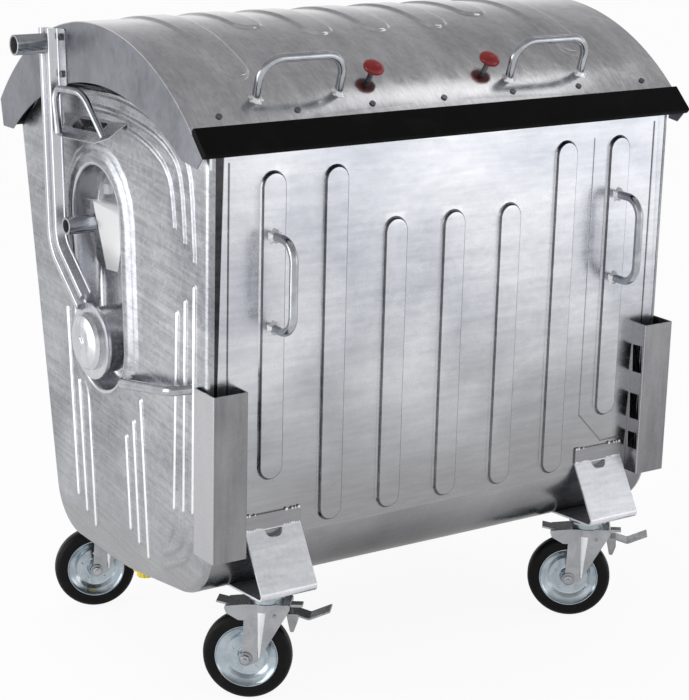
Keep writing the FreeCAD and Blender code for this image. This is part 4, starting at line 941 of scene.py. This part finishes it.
def lid_arm(side, sign):
    """Pressed arm with its round eye at the pivot and a wing for the bolts."""
    def place(y, z, out=0.0):
        return at(sign * (LID_HALF + out), y, z)

    across = Vector((sign, 0, 0))
    section = rounded([(share * ARM_HALF, *rest) for share, *rest in ARM_SECTION], 4)
    path = [place(*p) for p in rounded(ARM_LINE, 14)]
    bar = sweep("lid_arm_bar_" + side, "press", "lid", section, path, across)
    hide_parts("lid_arm_" + side)
    edge = EYE_ROUND - EYE_SOFT
    eye = [(0.0, EYE_HOLE), (0.0, edge), (EYE_SOFT, EYE_ROUND), (ARM_PLATE - EYE_SOFT, EYE_ROUND),
           (ARM_PLATE, edge), (ARM_PLATE, EYE_HOLE)]
    lathe("lid_arm_eye_" + side, "press", "lid", eye, place(0, PIVOT_Z), across, 72)
    wing = rounded([(WING_FRONT, WING_FOOT, WING_ROUND), (WING_REAR, WING_FOOT),
                    (WING_REAR, ARM_TOP), (WING_FRONT, ARM_TOP, WING_ROUND)], 4)
    plate("lid_arm_wing_" + side, "press", "lid", wing, place, ARM_PLATE, 0.0008)


def hub_cap(side, sign):
    """Closed cap over the spring hub of an arm."""
    foot = at(sign * LID_HALF, 0, PIVOT_Z)
    cap = lathe("hub_cap_shell_" + side, "press", "lid", HUB_PROFILE, foot, (sign, 0, 0), 96, 25)
    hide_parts("hub_cap_" + side)


KNOB_TURN = -math.radians(36.9)
KNOB_HEAD = [(0.022, 0.0), (0.022, 0.0205), (0.0235, 0.0230), (0.0265, 0.0240), (0.0300, 0.0236),
             (0.0340, 0.0205), (0.0370, 0.0150), (0.0390, 0.0080), (0.0396, 0.0)]
KNOB_STEM = [(-0.028, 0.0), (-0.028, 0.010), (-0.023, 0.010), (-0.023, 0.006), (0.016, 0.006),
             (0.0185, 0.0085), (0.022, 0.0085), (0.022, 0.0)]


def lid_knob(side):
    """Red knob on its stem, square to the dome."""
    low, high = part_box("lid_knob_" + side)
    x = (low.x + high.x) / 2
    foot = on_dome(x, KNOB_TURN)
    axis = on_dome(x, KNOB_TURN, 1.0) - foot
    cap = lathe("lid_knob_head_" + side, "red", "knob_" + side, KNOB_HEAD, foot, axis, 48)
    # The stem takes the painted shade look, standing in for the shadow under the red head.
    lathe("lid_knob_stem_" + side, "crease", "knob_" + side, KNOB_STEM, foot, axis, 32)
    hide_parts("lid_knob_" + side)


# Casters: tyre and dished rim with rivets on the wheel's body, folds and axle nuts on the fork's.
FORK_FACE, FOLD_RISE, FOLD_HALF, FOLD_TAPER, FOLD_SINK = 0.035, 0.0040, 0.0095, 0.35, -0.001
FOLD_ENDS = ((0.015, 0.104), (0.006, 0.220))
WASHER = [(0.0, 0.0), (0.0, 0.0155), (0.0030, 0.0155), (0.0040, 0.0140), (0.0040, 0.0)]
NUT = [(0.0040, 0.0), (0.0040, 0.0105), (0.0095, 0.0105), (0.0105, 0.0090), (0.0105, 0.0050),
       (0.0140, 0.0045), (0.0140, 0.0)]
TYRE_HALF = [(0.0070, 0.0996), (0.0140, 0.0982), (0.0195, 0.0945), (0.0225, 0.0885), (0.0232, 0.080),
             (0.0230, 0.0722), (0.0205, 0.0695)]
RIM_HALF = [(0.0295, 0.0085), (0.0295, 0.0160), (0.0280, 0.0172), (0.0120, 0.0195), (0.0090, 0.0215),
            (0.0080, 0.0250), (0.0080, 0.0440), (0.0100, 0.0480), (0.0140, 0.0530), (0.0150, 0.0570),
            (0.0180, 0.0640), (0.0205, 0.0672), (0.0226, 0.0688), (0.0228, 0.0704), (0.0205, 0.0715)]
RIVET = [(0.0, 0.0), (0.0, 0.0042), (0.0014, 0.0038), (0.0022, 0.0020), (0.0024, 0.0)]
RIVETS, RIVET_START, RIVET_RING, RIVET_FACE = 5, 0.4, 0.035, 0.0075


def axle(corner):
    """Middle and direction of a caster's axle."""
    roll = joints["roll_" + corner]
    return Vector(roll["pos_m"]), Vector(roll["axis"])


def fork_cheek(corner, end, face):
    """Rounded fold down the outside of a fork leg, with the washer and nut of the axle."""
    hub, axis = axle(corner)
    axis *= face
    swivel = Vector(joints["swivel_" + corner]["pos_m"])
    trail = (hub - swivel) * Vector((1, 1, 0))
    trail.normalize()
    (low_y, low_z), (high_y, high_z) = FOLD_ENDS
    loops = []
    for high in spread(0.0, 1.0, 8):
        spot = Vector((swivel.x, swivel.y, low_z + (high_z - low_z) * high))
        spot += trail * (low_y + (high_y - low_y) * high)
        wide = FOLD_HALF * (FOLD_TAPER + (1 - FOLD_TAPER) * high)
        ridge = [(-wide * math.cos(a), FOLD_RISE * math.sin(a) ** 2) for a in spread(0.0, math.pi, 12)]
        line = [(-wide, FOLD_SINK), *ridge, (wide, FOLD_SINK)]
        loops.append([spot + trail * y + axis * (FORK_FACE + out) for y, out in line])
    body, foot, name = "fork_" + corner, hub + axis * FORK_FACE, "%s_%s" % (corner, end)
    # The fold takes a painted highlight: zinc brighter than the fork, a bright line down each leg.
    loft("caster_fold_" + name, "painted_crest_highlight", body, loops, True, True, 60.0)
    lathe("caster_washer_" + name, "pedal", body, WASHER, foot, axis, 40)
    lathe("caster_nut_" + name, "bar", body, NUT, foot, axis, 6)


def both_halves(half):
    """Closed wheel profile from the half on one side of its middle."""
    return half + [(-along, radius) for along, radius in reversed(half)]


def caster_wheel(corner):
    """Tyre, dished rim and the rivets on both faces of the rim."""
    hub, axis = axle(corner)
    body = "wheel_" + corner
    tyre = lathe("wheel_tyre_round_" + corner, "tyre", body, both_halves(TYRE_HALF), hub, axis, 96)
    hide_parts("wheel_tyre_" + corner)
    rim = lathe("wheel_rim_dish_" + corner, "caster", body, both_halves(RIM_HALF), hub, axis, 96)
    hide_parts("wheel_rim_" + corner)
    one = axis.orthogonal().normalized()
    for number in range(RIVETS):
        spin = Matrix.Rotation(2 * math.pi * number / RIVETS + RIVET_START, 3, axis)
        for end, face in (("out", 1), ("in", -1)):
            spot = hub + spin @ one * RIVET_RING + axis * RIVET_FACE * face
            name = "wheel_rivet_%s_%d_%s" % (corner, number, end)
            lathe(name, "caster", body, RIVET, spot, axis * face, 16)


# Handles: bent bars with welded feet.
BAR, SIDE_BAR, BEND_STEPS = 0.0095, 0.008, 12
FRONT_HANDLE_X, FRONT_HANDLE_Z = 3 * RIB_PITCH, 0.947
LID_HANDLES = {"left": -0.360, "right": 0.305}
LID_HANDLE_TURN, LID_HANDLE_LEAN = -math.radians(40.3), math.radians(20)
LID_HANDLE_UP = Vector((0, -math.sin(LID_HANDLE_LEAN), math.cos(LID_HANDLE_LEAN)))
# Half length, height, radius of the bends and height of the feet.
FRONT_HANDLE, LID_HANDLE = (0.099, 0.076, 0.044, 0.0), (0.103, 0.088, 0.050, -0.010)
SHELF_Z, SIDE_HANDLE_X, SIDE_HANDLE_LEAN = 1.226, HALF_WIDTH + 0.047, 0.075
SIDE_HANDLE_LINE = [(0.076, SHELF_Z - 0.004), (0.088, SHELF_Z + 0.096, 0.026),
                    (-0.034, SHELF_Z + 0.094, 0.075), (-0.116, SHELF_Z + 0.002)]


def bent_handle(kind, side, body, base, along, up, out, sizes, ends):
    """Bar bent twice, with a weld at each foot: along joins the feet, out is square to the sheet."""
    half, tall, bend, start = sizes
    line = rounded([(-half, start), (-half, tall, bend), (half, tall, bend), (half, start)], BEND_STEPS)
    spots = [base + along * a + up * b for a, b in line]
    bar = tube("%s_bar_%s" % (kind, side), "bar", body, spots, BAR)
    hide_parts("%s_%s" % (kind, side))
    for end, foot in zip(ends, (-half, half)):
        weld("%s_weld_%s_%s" % (kind, side, end), body, base + along * foot, out, BAR)


def front_handle(side, sign):
    """Upright handle on an outer rib of the front wall."""
    base = on_front(sign * FRONT_HANDLE_X, FRONT_HANDLE_Z, RIB_DEPTH)
    ends = ("top", "low")
    bent_handle("front_handle", side, "tub", base, -FRONT_UP, FRONT_OUT, FRONT_OUT, FRONT_HANDLE, ends)


def lid_handle(side):
    """Handle along the front of the dome."""
    base = on_dome(LID_HANDLES[side], LID_HANDLE_TURN)
    out = on_dome(LID_HANDLES[side], LID_HANDLE_TURN, 1.0) - base
    bent_handle("lid_handle", side, "lid", base, ACROSS, LID_HANDLE_UP, out, LID_HANDLE, ("left", "right"))


def side_handle(side, sign):
    """Leaning arch over the side shelf."""
    line = rounded(SIDE_HANDLE_LINE, BEND_STEPS)
    spots = [at(sign * (SIDE_HANDLE_X + SIDE_HANDLE_LEAN * y), y, z) for y, z in line]
    bar = tube("side_handle_bar_" + side, "bar", "tub", spots, SIDE_BAR)
    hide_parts("side_handle_" + side)


# Side shelf, drawn flat by places along Y and down its slope.
SHELF_RUN, SHELF_FALL, SHELF_LIFT, SHELF_CELL = 0.78, 0.62, 0.034, 0.02
SHELF_OUTLINE = [(0.150, 0.002), (-0.152, 0.002), (-0.138, 0.050, 0.012), (-0.100, 0.070, 0.008),
                 (0.090, 0.070, 0.004), (0.100, 0.030, 0.02)]
SHELF_MOUTH = [(0.060, 0.010, 0.008), (-0.082, 0.010, 0.008), (-0.082, 0.040, 0.014), (0.060, 0.040, 0.014)]
SHELF_POCKET = [(0.0, 0.0), (0.001, -0.003), (0.004, -0.012), (0.009, -0.016)]


def side_shelf(side, sign):
    """Sloping tray under the side handle, with a pocket in it."""
    def place(u, v, out):
        return at(sign * (HALF_WIDTH + v * SHELF_RUN + out * SHELF_FALL), u,
                  SHELF_Z + SHELF_LIFT - v * SHELF_FALL + out * SHELF_RUN)

    mouth = rounded(SHELF_MOUTH, 6)
    outline = rounded(SHELF_OUTLINE, 6)
    tray = pressed("side_shelf_tray_" + side, "press", "tub", outline, [], place, SHELF_CELL, [mouth])
    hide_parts("side_shelf_" + side)
    loops = [[place(*p, out) for p in inset(mouth, reach)] for reach, out in SHELF_POCKET]
    # The pocket takes the painted shade look, dark as a recess in shade.
    loft("side_shelf_pocket_" + side, "crease", "tub", loops)


# Trunnion bracket: a wedge whose face runs back into the recess at its foot.
TRUNNION_Y, TRUNNION_Z = 0.034, 1.018
BRACKET_X, BRACKET_DEEP = HALF_WIDTH - RECESS_DEPTH, 0.050
BRACKET_THIN, BRACKET_KNEE, BRACKET_FALL = 0.22, 0.015, 0.167
BRACKET_FACE = [(0.050, 0.052, 0.012), (-0.004, 0.052, 0.003), (-0.016, 0.011), (-0.008, -0.026),
                (0.004, -0.070), (0.017, -0.115, 0.006), (0.050, -0.100, 0.012)]
BRACKET_FOOT = [(0.054, 0.044, 0.012), (-0.058, 0.038, 0.036), (-0.051, -0.008), (-0.046, -0.030),
                (-0.036, -0.060), (-0.017, -0.117, 0.006), (0.054, -0.104, 0.012)]
BRACKET_MIDDLE = Vector((0.010, -0.010))
CLIP = [(-0.010, 0.062, 0.003), (0.012, 0.062, 0.003), (0.012, 0.084, 0.003), (-0.010, 0.084, 0.003)]
CLIP_THICK = 0.014
TUBE_WALL, TUBE_DEEP = {"trunnion": 0.005, "lid_stub": 0.004}, 0.050
LINING_GAP, LINING_INNER, LINING_THICK = 0.0002, 0.0006, 0.0005


def trunnion_bracket(side, sign):
    """Near-white slope from the recess floor to the face, whose pale colour is a painted highlight, the face
    itself and a clip above it.
    """
    def from_floor(y, z, out):
        return at(sign * (BRACKET_X + out), TRUNNION_Y + y, TRUNNION_Z + z)

    def place(y, z, share):
        taper = max(BRACKET_THIN, min(1.0, 1.0 + (z - BRACKET_KNEE) / BRACKET_FALL))
        return from_floor(y, z, BRACKET_DEEP * share * taper)

    face, foot = rounded(BRACKET_FACE), rounded(BRACKET_FOOT)
    loops = []
    for share in (0.0, 0.06, 0.30, 0.60, 0.88, 0.97, 1.0):
        loops.append([place(*a.lerp(b, share), share) for a, b in zip(foot, face)])
    skin = loft("trunnion_bracket_flank_" + side, "flank", "tub", loops, False, False)
    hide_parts("trunnion_bracket_" + side)
    loops = []
    for share in (0.0, 0.3, 0.6, 0.85, 0.99):
        loops.append([place(*p.lerp(BRACKET_MIDDLE, share), 1.0) for p in face])
    loft("trunnion_bracket_face_" + side, "side", "tub", loops)
    plate("trunnion_bracket_clip_" + side, "weld", "tub", rounded(CLIP, 4), from_floor, CLIP_THICK, 0.001)


def bore_linings(side, sign):
    """Dull skin on the inside of the two tubes that stick out at a side."""
    for stem, body in (("trunnion", "tub"), ("lid_stub", "lid")):
        low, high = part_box("%s_%s" % (stem, side))
        middle = (low + high) / 2
        wide = (high.z - low.z) / 2 - TUBE_WALL[stem]
        end = Vector((low.x if sign < 0 else high.x, middle.y, middle.z))
        outer, inner, floor = wide - LINING_GAP, wide - LINING_INNER, -TUBE_DEEP + LINING_THICK
        skin = [(-LINING_THICK, inner), (-LINING_THICK, outer), (-TUBE_DEEP, outer), (-TUBE_DEEP, 0.0),
                (floor, 0.0), (floor, inner)]
        lathe("%s_lining_%s" % (stem, side), "bore", body, skin, end, (sign, 0, 0), 48)


# Tack welds of the caster brackets, by their distance from the middle of the bracket.
HEAD_WELDS = (-0.067, -0.060, -0.046, 0.034, 0.049, 0.057, 0.066)
KNEE_WELD_FIRST, KNEE_WELD_PITCH, KNEE_WELDS = 0.029, 0.0062, 7
TACK_ROUND, TACK_RISE = 0.0034, 0.0016


def tack_welds():
    """Short welds along the heads and knees of the front caster brackets."""
    spots = []
    for _, sign in SIDES:
        x = sign * LEG_X
        spots += [(on_front(x + offset, LEG_HEAD_Z, 0.004), FRONT_OUT) for offset in HEAD_WELDS]
        for step in range(KNEE_WELDS):
            offset = KNEE_WELD_FIRST + KNEE_WELD_PITCH * step
            for end in (-1, 1):
                foot = on_front(x + end * offset, LEG_KNEE_Z + 0.0045, LEG_SKIN - 0.0005)
                spots.append((foot, FRONT_OUT))
    studs("tack_welds", "weld", "tub", spots, TACK_ROUND, TACK_RISE)


PLUG_NECK, PLUG_TEETH, PLUG_SIDES, PLUG_FLUTE = 0.72, 12, 96, 0.08


def drain_plug():
    """Fluted grip below a round flange."""
    low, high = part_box("drain_plug")
    middle = (low + high) / 2
    top = high.z - low.z - 0.004
    wide = (high.x - low.x) / 2
    narrow = wide * PLUG_NECK
    loops = []
    for z, radius, flute in (
            (0.0, narrow * 0.9, 0.0), (0.002, narrow, PLUG_FLUTE), (0.014, narrow, PLUG_FLUTE),
            (0.016, narrow, 0.0), (0.0165, wide * 0.97, 0.0), (0.018, wide, 0.0), (top, wide, 0.0)):
        ring = []
        for k in range(PLUG_SIDES):
            a = 2 * math.pi * k / PLUG_SIDES
            r = radius * (1 - flute * (0.5 + 0.5 * math.cos(PLUG_TEETH * a)))
            ring.append(Vector((middle.x + r * math.cos(a), middle.y + r * math.sin(a), low.z + z)))
        loops.append(ring)
    plug = loft("drain_plug_cap", "yellow", "tub", loops, True, True)
    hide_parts("drain_plug")


# CAD nodes that keep their own shape: start of the name, look and width of the soft edges.
KEPT = {
    "front_rim": ("press", 0.0), "trunnion_": ("bar", 0.0008), "pivot_pin_": ("bar", 0.0),
    "lid_end_": ("end", 0.0006), "lid_rear_lip": ("end", 0.0), "lid_stub_": ("bar", 0.0008),
    # The lid rivets take the painted shade look: dark spots standing in for shade.
    "front_strip": ("strip", 0.002), "lid_rivets": ("crease", 0.0008), "side_grab_bar_": ("bar", 0.0),
    "corner_channel_": ("channel", 0.0008), "caster_bracket_": ("plate", 0.001),
    "caster_fork_": ("fork", 0.0015), "brake_pedal_": ("pedal", 0.0008), "caster_plates": ("caster", 0.0008),
}
FLAT_ANGLE, EDGE_ANGLE = math.radians(0.2), math.radians(28.0)


def soften(item, width):
    """Round the edges of a CAD node with modifiers, leaving its own mesh as it is."""
    modify(item, "weld", "WELD", merge_threshold=1e-5)
    modify(item, "flat", "DECIMATE", decimate_type="DISSOLVE", angle_limit=FLAT_ANGLE)
    modify(item, "edge", "BEVEL", width=width, segments=2, limit_method="ANGLE", angle_limit=EDGE_ANGLE,
           harden_normals=False)
    modify(item, "even", "WEIGHTED_NORMAL", keep_sharp=False)


def dress(node, item):
    """Give a CAD node its material and, where it helps, soft edges."""
    look, width = next(kept for start, kept in KEPT.items() if node.startswith(start))
    item.data.materials.clear()
    item.data.materials.append(LOOKS[look])
    if width:
        soften(item, width)


front_wall()
rear_wall()
floor_pan()
lid_dome()
drain_plug()
for side, sign in SIDES:
    side_panel(side, sign)
    lid_arm(side, sign)
    hub_cap(side, sign)
    lid_knob(side)
    front_handle(side, sign)
    lid_handle(side)
    side_handle(side, sign)
    side_shelf(side, sign)
    trunnion_bracket(side, sign)
    bore_linings(side, sign)
tack_welds()
for corner in CORNERS:
    caster_wheel(corner)
    fork_cheek(corner, "out", 1)
    fork_cheek(corner, "in", -1)
for node, item in nodes.items():
    if not item.hide_render:
        dress(node, item)

# Camera solved from the photograph. The focal length and the centre are in pixels of its image.
CAMERA_AT = Vector((-2.65972, -3.973006, 1.756002))
CAMERA_TURN, CAMERA_PITCH, CAMERA_ROLL = (math.radians(a) for a in (-32.142, 12.624, -0.949))
FOCAL, CENTRE = 2035.637, (290.751, 340.716)
IMAGE = (689, 700)
SENSOR = 36.0


def make_camera():
    """Camera with the photograph's view."""
    data = bpy.data.cameras.new("camera")
    camera = added("camera", data)
    level = math.cos(CAMERA_PITCH)
    back = Vector((math.sin(CAMERA_TURN) * level, -math.cos(CAMERA_TURN) * level, math.sin(CAMERA_PITCH)))
    right = (-back).cross(UP).normalized()
    up = right.cross(-back)
    c, s = math.cos(CAMERA_ROLL), math.sin(CAMERA_ROLL)
    across, tall = right * c + up * s, up * c - right * s
    turn = Matrix((across, tall, back)).transposed().to_4x4()
    camera.matrix_world = Matrix.Translation(CAMERA_AT) @ turn
    longest = max(IMAGE)
    data.sensor_width = SENSOR
    data.lens = FOCAL * SENSOR / longest
    data.shift_x = (IMAGE[0] / 2 - CENTRE[0]) / longest
    data.shift_y = (CENTRE[1] - IMAGE[1] / 2) / longest
    data.clip_end = 100.0
    bpy.context.scene.camera = camera


# Studio: pale floor, white surroundings and large soft lamps.
WHITE = (1, 1, 1, 1)
# Greys of the surroundings at places from the horizon, 0, to straight up, 1.
HEIGHT_GREYS = ((0.0, 1.0), (0.20, 1.0), (0.36, 0.62), (0.64, 0.36), (0.86, 0.42), (1.0, 0.50))
ROOM_LIGHT = 0.75
FLOOR_REACH, FLOOR_PAINT, FLOOR_GLOW, FLOOR_MIRRORED = 30.0, (0.90, 0.90, 0.90, 1), 0.92, 0.55
# Name, place, target, size and power of each lamp.
LAMPS = (
    ("left", (-3.0, 0.7, 1.3), (-0.6, 0.0, 0.8), (2.8, 2.4), 40),
    ("front", (2.5, -3.3, 0.95), (0, -0.4, 0.95), (2.6, 1.8), 12),
    ("top", (2.05, -0.5, 4.0), (0.1, -0.3, 1.25), (0.55, 1.0), 2.0),
)


def make_lamp(name, place, target, size, power):
    """Rectangular lamp that looks at a target."""
    data = bpy.data.lights.new(name, "AREA")
    data.shape = "RECTANGLE"
    data.size, data.size_y = size
    data.energy = power
    item = added(name, data)
    item.location = place
    item.rotation_mode = "QUATERNION"
    item.rotation_quaternion = (Vector(target) - Vector(place)).to_track_quat("-Z", "Y")


def seen_directly(wiring, share=1.0):
    """One for a ray from the camera, and a share of it for a ray from metal or through glass."""
    path = wiring.add("ShaderNodeLightPath")
    total = path.outputs["Is Camera Ray"]
    for key in ("Is Glossy Ray", "Is Transmission Ray"):
        total = wiring.math("MAXIMUM", total, wiring.math("MULTIPLY", path.outputs[key], share))
    return total


def mix_shaders(wiring, factor, one, two, end):
    """Join two shaders by a factor, up to an output node of a kind."""
    mix = wiring.add("ShaderNodeMixShader")
    for place, output in enumerate((factor, one.outputs[0], two.outputs[0])):
        wiring.link(output, mix, place)
    wiring.link(mix.outputs[0], wiring.add(end), "Surface")


def make_world():
    """Even light all round, and a soft gradient that the camera and the metal see."""
    world = bpy.data.worlds.new("studio")
    bpy.context.scene.world = world
    world.use_nodes = True
    w = Wiring(world.node_tree)
    w.tree.nodes.clear()
    ramp = w.add("ShaderNodeValToRGB")
    stops = ramp.color_ramp.elements
    while len(stops) < len(HEIGHT_GREYS):
        stops.new(0.5)
    for stop, (height, grey) in zip(stops, HEIGHT_GREYS):
        stop.position = height
        stop.color = (grey, grey, grey, 1)
    w.link(w.along(w.add("ShaderNodeTexCoord").outputs["Generated"], "Z"), ramp, "Fac")
    backdrop = w.add("ShaderNodeBackground", Strength=1.0)
    w.link(ramp.outputs["Color"], backdrop, "Color")
    room = w.add("ShaderNodeBackground", Color=WHITE, Strength=ROOM_LIGHT)
    mix_shaders(w, seen_directly(w), room, backdrop, "ShaderNodeOutputWorld")


def make_floor():
    """Plain pale floor that keeps the object's shadow."""
    r = FLOOR_REACH
    mesh = mesh_of("floor", [(-r, -r, 0), (r, -r, 0), (r, r, 0), (-r, r, 0)], [(0, 1, 2, 3)])
    floor = added("floor", mesh)
    material = bpy.data.materials.new("floor_white")
    material.use_nodes = True
    w = Wiring(material.node_tree)
    w.tree.nodes.clear()
    paint = w.add("ShaderNodeBsdfDiffuse", Color=FLOOR_PAINT)
    glow = w.add("ShaderNodeEmission", Color=WHITE, Strength=1.0)
    share = w.math("MULTIPLY", seen_directly(w, FLOOR_MIRRORED), FLOOR_GLOW)
    mix_shaders(w, share, paint, glow, "ShaderNodeOutputMaterial")
    mesh.materials.append(material)


make_camera()
make_world()
make_floor()
for row in LAMPS:
    make_lamp(*row)
bpy.context.scene.view_settings.view_transform = "Standard"
